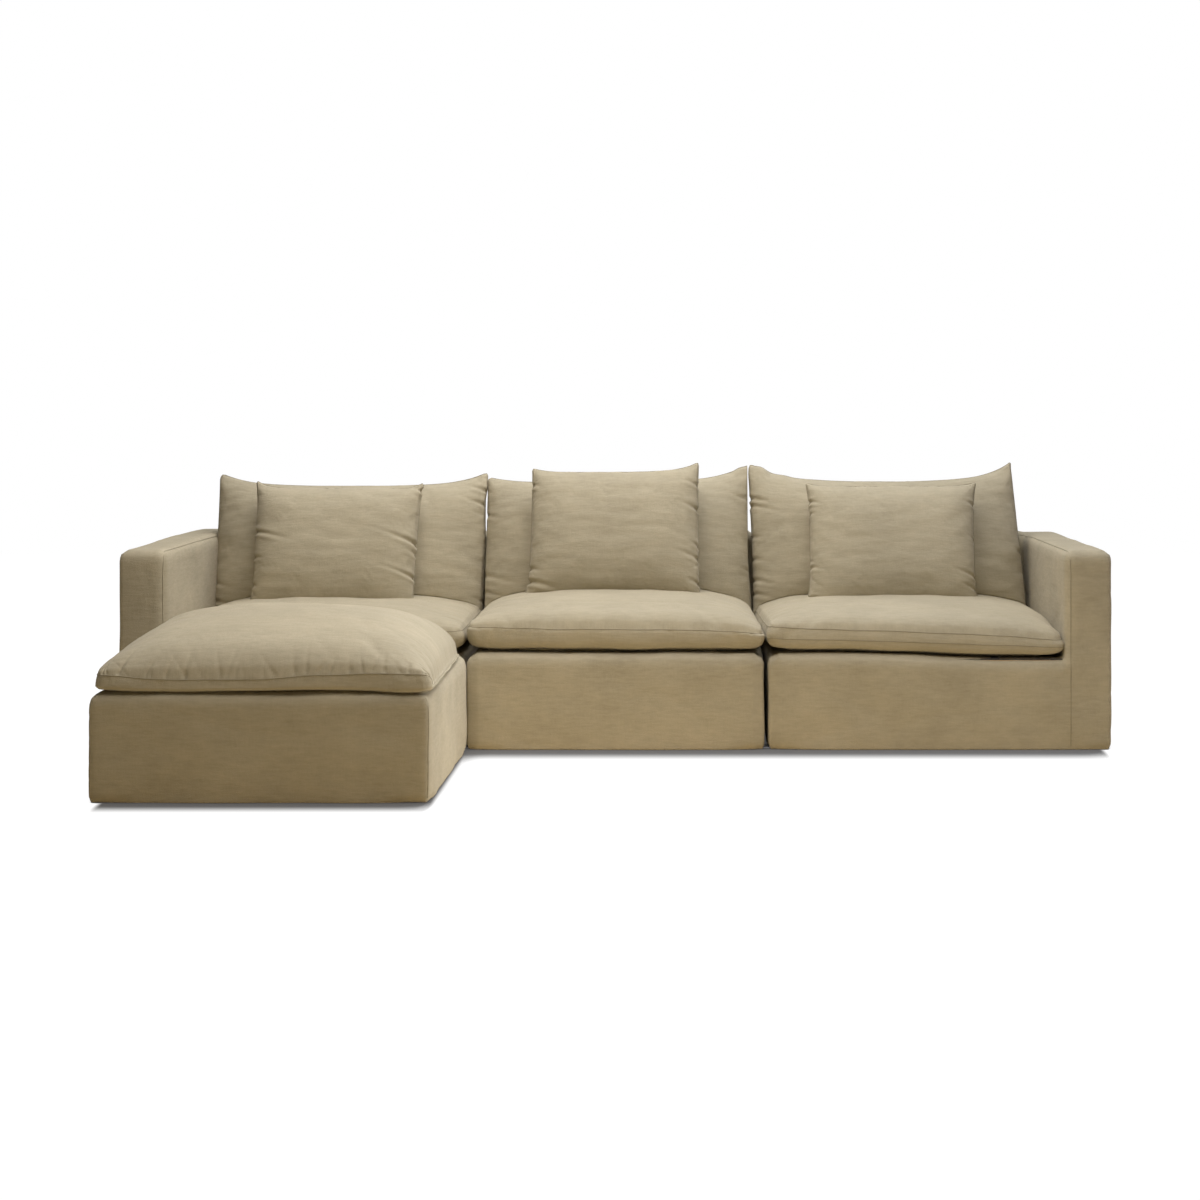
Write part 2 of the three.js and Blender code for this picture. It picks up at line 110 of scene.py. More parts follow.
def rays_seen(tree):
    """1 where the camera sees the thing directly, in a gloss or through glass."""
    rays = node(tree, "ShaderNodeLightPath").outputs
    seen = rays["Is Camera Ray"]
    for kind in ("Is Glossy Ray", "Is Transmission Ray"):
        seen = calc(tree, "MAXIMUM", seen, rays[kind])
    return seen


def distance_outside(tree, place, low, high, reach):
    """How far a place on the floor lies outside a rectangle, as a share of a reach along x and along y."""
    middle = [(low[k] + high[k]) / 2 for k in (0, 1)]
    half = [(high[k] - low[k]) / 2 for k in (0, 1)]
    away = vector_calc(tree, "ABSOLUTE", vector_calc(tree, "SUBTRACT", place, (*middle, 0)))
    away = vector_calc(tree, "MAXIMUM", vector_calc(tree, "SUBTRACT", away, (*half, 0)), (0, 0, 0))
    away = vector_calc(tree, "DIVIDE", away, (*reach, 1))
    return node(tree, "ShaderNodeVectorMath", {0: away}, operation="LENGTH").outputs["Value"]


floor_size = 9.0
floor_bounce = (0.84, 0.70, 0.46, 1)
floor_shade = (0.12, 0.12, 0.12, 1)
# Painted shadow round the rest footprints: its reach along x and y, its darkest level, start and inset.
row_shadow_reach = (0.030, 0.225)
chaise_shadow_reach = (0.028, 0.160)
shadow_level = 0.05
shadow_start = 0.26
shadow_inset = 0.045
open_reach = 0.3
open_span = (0.72, 0.92)
painted_contact_span = (0.38, 0.54)
floor_mesh = bpy.data.meshes.new("studio_floor")
floor_corners = [(x * floor_size, y * floor_size, 0) for x, y in ((-1, -1), (1, -1), (1, 1), (-1, 1))]
floor_mesh.from_pydata(floor_corners, [], [(0, 1, 2, 3)])
floor = bpy.data.objects.new("studio_floor", floor_mesh)
scene.collection.objects.link(floor)
floor_paint, tree = material("studio floor")
seen = rays_seen(tree)
place = node(tree, "ShaderNodeTexCoord").outputs["Object"]
row_low, row_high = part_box("left_cover")[0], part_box("right_cover")[1]
chaise_low, chaise_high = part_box("chaise_cover")
row_span = ((row_low[0] + shadow_inset, row_low[1]), (row_high[0] - shadow_inset, row_high[1]))
chaise_span = ((chaise_low[0] + shadow_inset, chaise_low[1]), chaise_high)
row_away = distance_outside(tree, place, *row_span, row_shadow_reach)
chaise_away = distance_outside(tree, place, *chaise_span, chaise_shadow_reach)
away = calc(tree, "MINIMUM", row_away, chaise_away)
# Painted shadow: the glow is lowest just outside the footprints and rises to full white farther out.
painted_shadow_lift = mapped(tree, away, shadow_start, 1.0, shadow_level, 1.0, "SMOOTHSTEP")
# Painted shadow that follows the pieces: white where the floor is open, dark close round a standing piece.
openness = node(tree, "ShaderNodeAmbientOcclusion", {"Distance": open_reach}, samples=32).outputs["AO"]
level = calc(tree, "MAXIMUM", painted_shadow_lift, mapped(tree, openness, *open_span))
level = calc(tree, "MINIMUM", level, mapped(tree, openness, *painted_contact_span, shadow_level))
glow_with_painted_shadow = calc(tree, "MULTIPLY", seen, level)
paint = node(tree, "ShaderNodeBsdfDiffuse", {"Color": mixed(tree, seen, floor_bounce, floor_shade)})
lit = node(tree, "ShaderNodeEmission", {"Color": (1, 1, 1, 1), "Strength": glow_with_painted_shadow})
both = node(tree, "ShaderNodeAddShader", {0: paint.outputs[0], 1: lit.outputs[0]})
node(tree, "ShaderNodeOutputMaterial", {"Surface": both.outputs[0]})
floor_mesh.materials.append(floor_paint)

# Room and lamps
# A white world all round, a wide soft lamp at the ceiling with a smaller one above it, one on the right, a
# low one there for the ottoman's side alone, and two over the ottoman and over the front edge of the seats.
world = bpy.data.worlds.new("studio")
scene.world = world
world.use_nodes = True
tree = world.node_tree
tree.nodes.clear()
fill = node(tree, "ShaderNodeBackground", {"Color": (1.0, 0.9, 0.75, 1), "Strength": 0.02})
white = node(tree, "ShaderNodeBackground", {"Color": (1, 1, 1, 1), "Strength": 1.0})
pick = node(tree, "ShaderNodeMixShader", {0: rays_seen(tree), 1: fill.outputs[0], 2: white.outputs[0]})
node(tree, "ShaderNodeOutputWorld", {"Surface": pick.outputs[0]})


def soft_lamp(name, size, power, colour, place, aim):
    lamp = bpy.data.lights.new(name, "AREA")
    lamp.shape = "RECTANGLE"
    lamp.size, lamp.size_y = size
    lamp.energy = power
    lamp.color = colour
    holder = bpy.data.objects.new(name, lamp)
    holder.location = place
    holder.rotation_euler = (Vector(aim) - Vector(place)).to_track_quat("-Z", "Y").to_euler()
    scene.collection.objects.link(holder)
    return holder


soft_lamp("ceiling_softbox", (4.5, 3.2), 100, (0.93, 0.95, 1.0), (0.4, 0.3, 3.4), (0.1, 0.2, 0.3))
soft_lamp("middle_softbox", (2.8, 2.2), 18, (0.85, 0.87, 1.0), (0.1, 0.0, 3.6), (0.0, 0.1, 0.3))
soft_lamp("right_softbox", (1.6, 1.6), 8, (0.78, 0.80, 1.0), (3.6, -0.6, 1.2), (0.0, 0.0, 0.3))
soft_lamp("left_softbox", (1.8, 1.8), 21, (1.0, 0.92, 0.84), (-0.7, -0.7, 2.6), (-0.9, -0.5, 0.4))
soft_lamp("front_softbox", (4.0, 1.4), 35, (1.0, 0.91, 0.79), (0.2, -1.8, 3.2), (0.0, 0.2, 0.4))
ottoman_side = (-0.5, -0.55, 0.22)
low_lamp = soft_lamp("low_softbox", (0.35, 0.40), 3.1, (0.85, 0.90, 1.0), (3.2, -0.22, 0.40), ottoman_side)
low_lamp.data.spread = math.radians(40)

# Camera
# Level, in front of the set and a little right of its middle, with the lens shifted down and to the left.
eye_x = 0.275
eye_height = 1.09
eye_distance = 6.85
unit_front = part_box("centre_cover")[0][1]
camera = bpy.data.cameras.new("camera")
camera.sensor_width = 36.0
camera.lens = 64.67
camera.shift_x = -0.085
camera.shift_y = -0.161
viewer = bpy.data.objects.new("camera", camera)
viewer.location = (eye_x, unit_front - eye_distance, eye_height)
viewer.rotation_euler = (math.radians(90), 0, 0)
scene.collection.objects.link(viewer)
scene.camera = viewer

# Linen
# Washed plain-weave linen, undyed and a little slubby. Short thick stretches of thread show as faint level
# flecks, and the cloth has soft clouds of lighter and darker tone. The weave follows the cloth map, in metres
# along the threads. Along a seam the cloth is gathered into fine puckers, which follow the seam map.
CLOTH_MAP = "cloth"
SEAM_MAP = "seam"
linen_thread = 0.0016


def noise(tree, place, scale, detail, rough):
    sockets = {"Vector": place, "Scale": scale, "Detail": detail, "Roughness": rough}
    return node(tree, "ShaderNodeTexNoise", sockets).outputs["Fac"]


def stretched(tree, place, amounts):
    return vector_calc(tree, "MULTIPLY", place, amounts)


def toned(tree, colour, tone):
    """A colour made lighter or darker by a number."""
    return node(tree, "ShaderNodeVectorMath", {0: colour, "Scale": tone}, operation="SCALE").outputs[0]


def sum_of(tree, *terms):
    """Adds up (value, weight) pairs, each value measured from its middle of one half."""
    total = 0.0
    for value, weight in terms:
        total = calc(tree, "MULTIPLY_ADD", calc(tree, "SUBTRACT", value, 0.5), weight, total)
    return total


def group_tree(name, inputs, outputs):
    """A shader group. Each input and output is given its kind, or the number that it starts from."""
    tree = bpy.data.node_groups.new(name, "ShaderNodeTree")
    for in_out, sockets in (("INPUT", inputs), ("OUTPUT", outputs)):
        for label, kind in sockets.items():
            number = not isinstance(kind, str)
            kind_name = "NodeSocketFloat" if number else f"NodeSocket{kind}"
            socket = tree.interface.new_socket(name=label, in_out=in_out, socket_type=kind_name)
            if number:
                socket.default_value = kind
    return tree, node(tree, "NodeGroupInput").outputs, node(tree, "NodeGroupOutput")


def put_out(tree, out, **results):
    for label, result in results.items():
        tree.links.new(result, out.inputs[label])


def linen_group():
    inputs = {"Cloth": "Vector", "Place": "Vector", "Thread": linen_thread, "Slub": 0.3, "Cloud": 0.2}
    inputs["Colour"] = "Color"
    outputs = {"Dyed": "Color", "Height": "Float", "Matt": "Float"}
    tree, given, out = group_tree("linen weave", inputs, outputs)
    cloth, place = given["Cloth"], given["Place"]
    weft = noise(tree, stretched(tree, cloth, (24, 110, 0)), 1.0, 4.0, 0.70)
    broad = noise(tree, stretched(tree, cloth, (9, 42, 0)), 1.0, 2.0, 0.55)
    warp = noise(tree, stretched(tree, cloth, (150, 36, 0)), 1.0, 3.0, 0.65)
    cloud = noise(tree, place, 5.0, 4.0, 0.6)
    fuzz = noise(tree, place, 380.0, 2.0, 0.6)
    # The weave itself: one thread over, one thread under
    parts = node(tree, "ShaderNodeSeparateXYZ", {0: cloth}).outputs
    turn = calc(tree, "DIVIDE", math.pi, given["Thread"])
    waves = [calc(tree, "SINE", calc(tree, "MULTIPLY", parts[axis], turn)) for axis in (0, 1)]
    weave = calc(tree, "MULTIPLY", *waves)
    # Tone: flecks both ways, then clouds
    flecks = sum_of(tree, (weft, 1.0), (broad, 0.45), (warp, 0.30))
    tone = calc(tree, "MULTIPLY_ADD", flecks, given["Slub"], 1.0)
    tone = calc(tree, "MULTIPLY_ADD", calc(tree, "SUBTRACT", cloud, 0.5), given["Cloud"], tone)
    # Heights are in millimetres
    relief = sum_of(tree, (weft, 0.9), (warp, 0.4), (broad, 0.5), (fuzz, 0.25))
    put_out(
        tree,
        out,
        Dyed=toned(tree, given["Colour"], tone),
        Height=calc(tree, "MULTIPLY_ADD", weave, 0.10, relief),
        Matt=calc(tree, "MULTIPLY_ADD", fuzz, 0.14, 0.84),
    )
    return tree


def pucker_group():
    inputs = {"Seam": "Vector", "Reach": 0.02, "Depth": 1.0}
    tree, given, out = group_tree("seam puckers", inputs, {"Height": "Float"})
    folds = noise(tree, stretched(tree, given["Seam"], (95, 18, 0)), 1.0, 2.0, 0.5)
    bunches = noise(tree, stretched(tree, given["Seam"], (9, 3, 0)), 1.0, 1.0, 0.5)
    away = node(tree, "ShaderNodeSeparateXYZ", {0: given["Seam"]}).outputs[1]
    fading = calc(tree, "MULTIPLY", calc(tree, "DIVIDE", away, given["Reach"]), -1.0)
    uneven = mapped(tree, bunches, 0.35, 0.7, 0.15, 1.0)
    deep = calc(tree, "MULTIPLY", calc(tree, "EXPONENT", fading), uneven)
    deep = calc(tree, "MULTIPLY", deep, given["Depth"])
    put_out(tree, out, Height=calc(tree, "MULTIPLY", sum_of(tree, (folds, 2.0)), deep))
    return tree


LINEN_GROUP = linen_group()
PUCKER_GROUP = pucker_group()


def finished(tree, looks, colour, height, strength, relief, skin_values):
    """Ends a material with one skin that takes its colour, roughness and relief from a group."""
    bump = node(tree, "ShaderNodeBump", {"Height": height, "Strength": strength, "Distance": relief})
    sockets = {"Base Color": looks[colour], "Roughness": looks["Matt"], "Normal": bump.outputs[0]}
    skin = node(tree, "ShaderNodeBsdfPrincipled", {**sockets, **skin_values})
    node(tree, "ShaderNodeOutputMaterial", {"Surface": skin.outputs[0]})


linen_skin = {
    "Specular IOR Level": 0.2,
    "Sheen Weight": 0.10,
    "Sheen Roughness": 0.5,
    "Sheen Tint": (1.0, 0.96, 0.90, 1),
}


def linen_material(name, colour, slub, cloud, pucker_depth, pucker_reach):
    made, tree = material(name)
    sockets = {
        "Cloth": node(tree, "ShaderNodeUVMap", uv_map=CLOTH_MAP).outputs[0],
        "Place": node(tree, "ShaderNodeTexCoord").outputs["Object"],
        "Thread": linen_thread,
        "Slub": slub,
        "Cloud": cloud,
        "Colour": (*colour, 1),
    }
    weave = node(tree, "ShaderNodeGroup", sockets, node_tree=LINEN_GROUP).outputs
    seam = node(tree, "ShaderNodeAttribute", attribute_name=SEAM_MAP).outputs["Vector"]
    sockets = {"Seam": seam, "Reach": pucker_reach, "Depth": pucker_depth}
    gathers = node(tree, "ShaderNodeGroup", sockets, node_tree=PUCKER_GROUP).outputs
    height = calc(tree, "ADD", weave["Height"], gathers["Height"])
    finished(tree, weave, "Dyed", height, 1.0, 0.001, linen_skin)
    return made


linen_colour = (0.437, 0.385, 0.272)
# The seam ridges take the linen darkened: a painted shade for the shadow along each seam.
seam_painted_shade = 0.74
cover_linen = linen_material("cover linen", linen_colour, 0.38, 0.42, 0.6, 0.015)
cushion_linen = linen_material("cushion linen", linen_colour, 0.36, 0.32, 1.3, 0.020)
seam_linen_painted_shade = linen_material("seam linen", tuple(seam_painted_shade * c for c in linen_colour), 0.20, 0.05, 0.0, 0.01)


# Slipcovers
# Each unit wears one loose linen cover down to the floor, cut in panels, with wadding under it on the arms,
# back and base front. The panels are boxes that are run together, then wrinkled a little, and the cover ends
# in a turned hem.
def mesh_object(name, mesh):
    made = bpy.data.objects.new(name, mesh)
    scene.collection.objects.link(made)
    return made


def evaluated_mesh(obj):
    """The object's mesh with its modifiers applied, as a plain mesh."""
    graph = bpy.context.evaluated_depsgraph_get()
    return bpy.data.meshes.new_from_object(obj.evaluated_get(graph))


def read_points(mesh, field="co"):
    flat = np.empty(len(mesh.vertices) * 3)
    mesh.vertices.foreach_get(field, flat)
    return flat.reshape(-1, 3)


def write_points(mesh, points):
    mesh.vertices.foreach_set("co", points.ravel())
    mesh.update()


def swell(points, seed, wavelength, stretch=(1, 1, 1), count=26):
    """A smooth random field over the points, about -1 to 1, with folds of roughly one wavelength."""
    dice = np.random.default_rng(seed)
    ways = dice.normal(size=(count, 3))
    ways /= np.linalg.norm(ways, axis=1)[:, None]
    ways *= (math.tau / wavelength) * dice.uniform(0.6, 1.4, (count, 1)) / np.array(stretch)
    return np.sin(points @ ways.T + dice.uniform(0, math.tau, count)).sum(axis=1) / math.sqrt(count)


def creases(points, seed, wavelength, stretch=(1, 1, 1), narrow=0.18):
    """Thin crease lines that wander over the cloth, from 0 to 1."""
    return np.exp(-((swell(points, seed, wavelength, stretch) / narrow) ** 2))


def ramp(value, low, high):
    """0 below low, 1 above high, smooth between."""
    t = np.clip((value - low) / (high - low), 0, 1)
    return t * t * (3 - 2 * t)


def drawn(line, step):
    """A path through the corners of a line, with a point every step."""
    line = np.asarray(line, float)
    spans = np.linalg.norm(np.diff(line, axis=0), axis=1)
    run = np.concatenate([[0], np.cumsum(spans)])
    at = np.linspace(0, run[-1], max(2, round(run[-1] / step)))
    return np.stack([np.interp(at, run, line[:, k]) for k in range(3)], axis=-1)


def seam_field(points, lines):
    """For each point, how far along the nearest seam it lies, and how far away from it."""
    spots = np.concatenate(lines)
    runs, start = [], 0.0
    for line in lines:
        spans = np.linalg.norm(np.diff(line, axis=0), axis=1)
        run = start + np.concatenate([[0], np.cumsum(spans)])
        runs.append(run)
        start = run[-1] + 1.0
    runs = np.concatenate(runs)
    tree = KDTree(len(spots))
    for index, spot in enumerate(spots):
        tree.insert(spot, index)
    tree.balance()
    run, away = np.empty(len(points)), np.empty(len(points))
    for index, point in enumerate(points):
        _, nearest, distance = tree.find(point)
        run[index], away[index] = runs[nearest], distance
    return run, away


def puckers(run, away, seed, every, width, reach, depth):
    """Short creases that run in from a seam, with random places, lengths and slants."""
    dice = np.random.default_rng(seed)
    total = np.zeros(len(run))
    spot = run.min() + every * dice.uniform(0.2, 1.0)
    close = np.flatnonzero(away < 4 * reach)
    near_run, near_away = run[close], away[close]
    while spot < run.max():
        slant, length = dice.normal(0, 0.35), reach * dice.uniform(0.4, 1.7)
        wide, deep = width * dice.uniform(0.7, 1.5), depth * dice.uniform(0.2, 1.0)
        fold = np.exp(-(((near_run - spot - slant * near_away) / wide) ** 2))
        total[close] += deep * fold * (1 - np.exp(-near_away / 0.004)) * np.exp(-near_away / length)
        spot += every * dice.uniform(0.3, 1.7)
    return total


def box_map(mesh):
    """A cloth map in metres, laid on each face from the side it faces most."""
    layer = mesh.uv_layers.new(name=CLOTH_MAP)
    points = read_points(mesh)
    corners = np.empty(len(mesh.loops), int)
    mesh.loops.foreach_get("vertex_index", corners)
    facing = np.empty(len(mesh.polygons) * 3)
    mesh.polygons.foreach_get("normal", facing)
    facing = np.abs(facing.reshape(-1, 3))
    sizes = np.empty(len(mesh.polygons), int)
    mesh.polygons.foreach_get("loop_total", sizes)
    main = np.repeat(facing.argmax(axis=1), sizes)
    at = points[corners]
    flat = np.empty((len(corners), 2))
    flat[main == 0] = at[main == 0][:, [1, 2]]
    flat[main == 1] = at[main == 1][:, [0, 2]]
    flat[main == 2] = at[main == 2][:, [0, 1]]
    layer.data.foreach_set("uv", flat.ravel())


def keep_seam_map(mesh, run, away):
    """Stores each point's place along its seam and distance from it, for the fine puckers in the linen."""
    stored = mesh.attributes.new(SEAM_MAP, "FLOAT_VECTOR", "POINT")
    stored.data.foreach_set("vector", np.stack([run, away, np.zeros_like(run)], axis=-1).ravel())


def soft_boxes(name, boxes, radius, segments, voxel):
    """Boxes with rounded edges, run together into one skin of even cells."""
    shell = bmesh.new()
    for low, high in boxes:
        made = bmesh.ops.create_cube(shell, size=1.0)["verts"]
        for vert in made:
            vert.co = Vector([low[k] if vert.co[k] < 0 else high[k] for k in range(3)])
        edges = list({edge for vert in made for edge in vert.link_edges})
        bmesh.ops.bevel(shell, geom=edges, offset=radius, segments=segments, profile=0.5, affect="EDGES")
    mesh = bpy.data.meshes.new(name)
    shell.to_mesh(mesh)
    shell.free()
    obj = mesh_object(name, mesh)
    remesh = obj.modifiers.new("even cells", "REMESH")
    remesh.mode = "VOXEL"
    remesh.voxel_size = voxel
    remesh.adaptivity = 0
    even = evaluated_mesh(obj)
    obj.modifiers.clear()
    obj.data = even
    bpy.data.meshes.remove(mesh)
    return obj


def cut_below(mesh, height):
    """Takes away what lies below a level, and leaves an open edge there."""
    shell = bmesh.new()
    shell.from_mesh(mesh)
    bmesh.ops.bisect_plane(
        shell,
        geom=shell.verts[:] + shell.edges[:] + shell.faces[:],
        plane_co=(0, 0, height),
        plane_no=(0, 0, 1),
        clear_inner=True,
    )
    shell.to_mesh(mesh)
    shell.free()


def crisped(points, low, high, radius, crisp):
    """Turns the rounding of the four upright corners into a tighter one. The cloth is pressed flat along the
    seams there."""
    points = points.copy()
    flat_run = radius - crisp
    length = 2 * flat_run + crisp * math.pi / 2
    for side in (-1, 1):
        for end in (-1, 1):
            from_side = (high[0] - points[:, 0]) if side > 0 else (points[:, 0] - low[0])
            from_end = (high[1] - points[:, 1]) if end > 0 else (points[:, 1] - low[1])
            at = np.flatnonzero((from_side < radius) & (from_end < radius))
            across, along = radius - from_side[at], radius - from_end[at]
            turn = np.arctan2(across, along)
            out = np.clip(np.hypot(across, along) / radius, 0, 1) ** 2
            run = turn / (math.pi / 2) * length
            bent = np.clip((run - flat_run) / crisp, 0, math.pi / 2)
            new_side = np.where(run < flat_run, radius - run, crisp * (1 - np.sin(bent)))
            new_end = crisp * (1 - np.cos(bent)) + np.clip(run - flat_run - crisp * math.pi / 2, 0, None)
            old_side, old_end = radius * (1 - np.sin(turn)), radius * (1 - np.cos(turn))
            points[at, 0] += side * out * (old_side - new_side)
            points[at, 1] += end * out * (old_end - new_end)
    return points


arm_thick = 0.14
back_thick = 0.17
platform_height = 0.30
arm_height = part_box("left_cover")[1][2]
unit_back_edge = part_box("centre_cover")[1][1]
row_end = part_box("right_cover")[1][0]
arm_top_span = (row_end - 0.17, row_end - 0.12)
left_arm_sag = 0.005
left_arm_rise = 0.010
right_arm_sag = 0.006
edge_sag = 0.017
edge_sag_span = (row_end - 0.95, row_end - 0.25)
cover_cloth = 0.005
cover_cell = 0.0115
cover_rounding = 0.028
corner_rounding = 0.009
cover_puckers = (0.030, 0.006, 0.016, 0.0030)
panel_hollow = (0.0014, 0.42)
panel_ripple = (0.0007, 0.13)
panel_crease = (0.0012, 0.5)
slack_wave = (0.0030, 0.26)
arm_top_calm = 0.6
corner_turn_in = 0.50
neighbour_reach = 0.03
below_floor = 0.08
slack_height = 0.22
hem_drop = 0.0016
hem_tuck = 0.026


def slipcover(unit, boxes, body, seed, tight, seams):
    """One unit's cover. tight lists the faces, as (axis, side), that stand against a neighbour."""
    node_name = f"{unit}_cover"
    low, high = (np.array(corner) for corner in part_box(node_name))
    obj = soft_boxes(node_name + "_linen", boxes, cover_rounding, 4, cover_cell)
    mesh = obj.data
    points = read_points(mesh)
    normals = read_points(mesh, "normal")
    run, away = seam_field(points, [drawn(line, 0.004) for line in seams])
    # Slow hollows and swells, a few creases that wander over the panels, and a slack lower edge
    push = panel_hollow[0] * swell(points, seed, panel_hollow[1])
    push += panel_ripple[0] * swell(points, seed + 1, panel_ripple[1])
    push -= panel_crease[0] * creases(points, seed + 2, panel_crease[1], (1.0, 1.0, 0.5), 0.14)
    slack = np.clip((slack_height - points[:, 2]) / slack_height, 0, 1) ** 1.6
    push += slack * slack_wave[0] * swell(points, seed + 3, slack_wave[1], (1, 1, 4.0))
    push *= 1 - arm_top_calm * ramp(points[:, 2], arm_height - 0.05, arm_height)
    push -= puckers(run, away, seed + 4, *cover_puckers)
    # The cloth stays off the neighbours
    near = np.zeros(len(points), bool)
    for axis, side in tight:
        edge = high[axis] if side > 0 else low[axis]
        near |= np.abs(points[:, axis] - edge) < neighbour_reach
    inwards = np.clip(push - 0.0010, -0.004, -0.0002)
    outwards = np.clip(push + 0.0055, -0.002, 0.010)
    push = np.where(near, inwards, outwards)
    points = crisped(points + normals * push[:, None], low, high, cover_rounding, corner_rounding)
    # The lower edge turns in towards the floor at the corners
    drop = np.clip((hem_tuck - points[:, 2]) / hem_tuck, 0, 1)
    turn_in = hem_tuck * (1 - np.sqrt(1 - drop**2))
    from_side = (high - low)[:2] / 2 - np.abs(points[:, :2] - (low + high)[:2] / 2)
    corner = ramp(-from_side.max(axis=1), -0.16, -0.02)
    points = points - normals * [1, 1, 0] * (turn_in * corner_turn_in * corner)[:, None]
    # The arms sag a little, and the left one is fuller towards the back
    top = ramp(points[:, 2], 0.50, arm_height - 0.02)
    if unit == "left":
        along = ramp(points[:, 1], unit_back_edge - 1.0, unit_back_edge - 0.4)
        on_arm = top * ramp(-points[:, 0], *arm_top_span)
        points[:, 2] += (left_arm_rise * along - left_arm_sag) * on_arm
    if unit == "right":
        points[:, 2] -= right_arm_sag * top * ramp(points[:, 0], *arm_top_span)
        # Its front edge has given way a little towards the arm
        before_arm = 1 - ramp(points[:, 0], row_end - 0.150, row_end - 0.135)
        near_front = 1 - ramp(points[:, 1], low[1] + 0.05, low[1] + 0.30)
        level = ramp(points[:, 2], 0.16, platform_height) * (1 - ramp(points[:, 2], 0.32, 0.36))
        points[:, 2] -= edge_sag * ramp(points[:, 0], *edge_sag_span) * before_arm * level * near_front
    write_points(mesh, points)
    keep_seam_map(mesh, run, away)
    cut_below(mesh, hem_drop)
    box_map(mesh)
    mesh.shade_smooth()
    wall = obj.modifiers.new("cloth", "SOLIDIFY")
    wall.thickness = cover_cloth
    wall.offset = -1
    mesh.materials.append(cover_linen)
    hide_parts(node_name)
    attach(obj, body)
    return obj


def unit_boxes(unit, arm_side):
    low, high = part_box(f"{unit}_cover")
    under = -below_floor
    boxes = [
        ((low[0], low[1], under), (high[0], high[1], platform_height)),
        ((low[0], high[1] - back_thick, under), (high[0], high[1], arm_height)),
    ]
    if arm_side < 0:
        boxes.append(((low[0], low[1], under), (low[0] + arm_thick, high[1], arm_height)))
    if arm_side > 0:
        boxes.append(((high[0] - arm_thick, low[1], under), (high[0], high[1], arm_height)))
    return boxes


def arm_seams(unit, side):
    """The seam along an arm's inner top edge and down its front, the one on the outer back corner, and the
    one along the top of the back."""
    low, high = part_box(f"{unit}_cover")
    outer = low[0] if side < 0 else high[0]
    inner = outer - side * arm_thick
    back = high[1] - back_thick
    dip = 0.008
    front_x = inner + (0.014 if side > 0 else -0.003)
    other = high[0] if side < 0 else low[0]
    return [
        [
            (inner, back, arm_height - dip),
            (inner + side * dip, back - 0.1, arm_height - 0.004),
            (inner + side * dip, low[1] + 0.03, arm_height - 0.004),
            (front_x, low[1] + 0.007, arm_height - 0.018),
            (front_x, low[1], arm_height - 0.06),
            (front_x, low[1], seam_foot),
        ],
        [(outer, high[1] - 0.012, arm_height - 0.03), (outer, high[1] - 0.012, 0.02)],
        [(other, back + dip, arm_height - dip), (inner, back + dip, arm_height - dip)],
    ]


def back_seams(unit):
    low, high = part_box(f"{unit}_cover")
    back = high[1] - back_thick
    return [[(x, back + 0.008, arm_height - 0.008) for x in (low[0], high[0])]]


def front_corner_seams(sides, front):
    return [[(x, front, platform_height - 0.006), (x, front, seam_foot)] for x in sides]


seam_foot = 0.012
side_slack = (0.001, 0.006)
chaise_sides = (chaise_low[0] - side_slack[0], chaise_high[0] + side_slack[1])
cover_seams = {
    "left": arm_seams("left", -1),
    "centre": back_seams("centre"),
    "right": arm_seams("right", 1),
    "chaise": front_corner_seams(chaise_sides, chaise_low[1]),
}
chaise_box = ((chaise_sides[0], chaise_low[1], -below_floor), (chaise_sides[1], *chaise_high[1:]))
cover_cuts = {
    "left": (unit_boxes("left", -1), "modules", 1, [(0, 1)]),
    "centre": (unit_boxes("centre", 0), "modules", 11, [(0, -1), (0, 1)]),
    "right": (unit_boxes("right", 1), "modules", 21, [(0, -1)]),
    "chaise": ([chaise_box], "chaise", 57, [(1, 1)]),
}
covers = {unit: slipcover(unit, *cut, cover_seams[unit]) for unit, cut in cover_cuts.items()}


# Cushion cloth
# A cushion is sewn from flat panels. Each panel here is a grid of points, and panels that share a seam share
# the points along it. Cloth with air pressure in it stands for the filling, and gives the pull and folds at
# the seams.
def quad_mesh(name, points, faces):
    mesh = bpy.data.meshes.new(name)
    mesh.vertices.add(len(points))
    mesh.vertices.foreach_set("co", points.ravel())
    mesh.loops.add(faces.size)
    mesh.loops.foreach_set("vertex_index", faces.ravel().astype(np.int32))
    mesh.polygons.add(len(faces))
    mesh.polygons.foreach_set("loop_start", np.arange(0, faces.size, 4, dtype=np.int32))
    mesh.update(calc_edges=True)
    return mesh


def border(shape):
    mask = np.zeros(shape, bool)
    mask[0], mask[-1], mask[:, 0], mask[:, -1] = True, True, True, True
    return mask


def welded(panels):
    """Joins panels along their shared edges. Gives the points, the faces, each face corner's map place, and
    where each panel's points ended up."""
    points = np.concatenate([panel["at"].reshape(-1, 3) for panel in panels])
    rims = np.concatenate([border(panel["at"].shape[:2]).ravel() for panel in panels])
    tree = KDTree(int(rims.sum()))
    spots = np.flatnonzero(rims)
    for spot in spots:
        tree.insert(points[spot], int(spot))
    tree.balance()
    target = np.arange(len(points))
    for spot in spots:
        target[spot] = min(index for _, index, _ in tree.find_range(points[spot], 3e-5))
    target = target[target]
    kept, compact = np.unique(target, return_inverse=True)
    faces, places, where, start = [], [], [], 0
    for panel in panels:
        rows, columns = panel["at"].shape[:2]
        index = np.arange(start, start + rows * columns).reshape(rows, columns)
        start += rows * columns
        where.append(compact[index])
        corners = [index[:-1, :-1], index[:-1, 1:], index[1:, 1:], index[1:, :-1]]
        quads = np.stack(corners, axis=-1).reshape(-1, 4)
        if panel["flip"]:
            quads = quads[:, ::-1]
        faces.append(compact[quads])
        places.append(panel["map"].reshape(-1, 2)[quads - index[0, 0]])
    return points[kept], np.concatenate(faces), np.concatenate(places), where


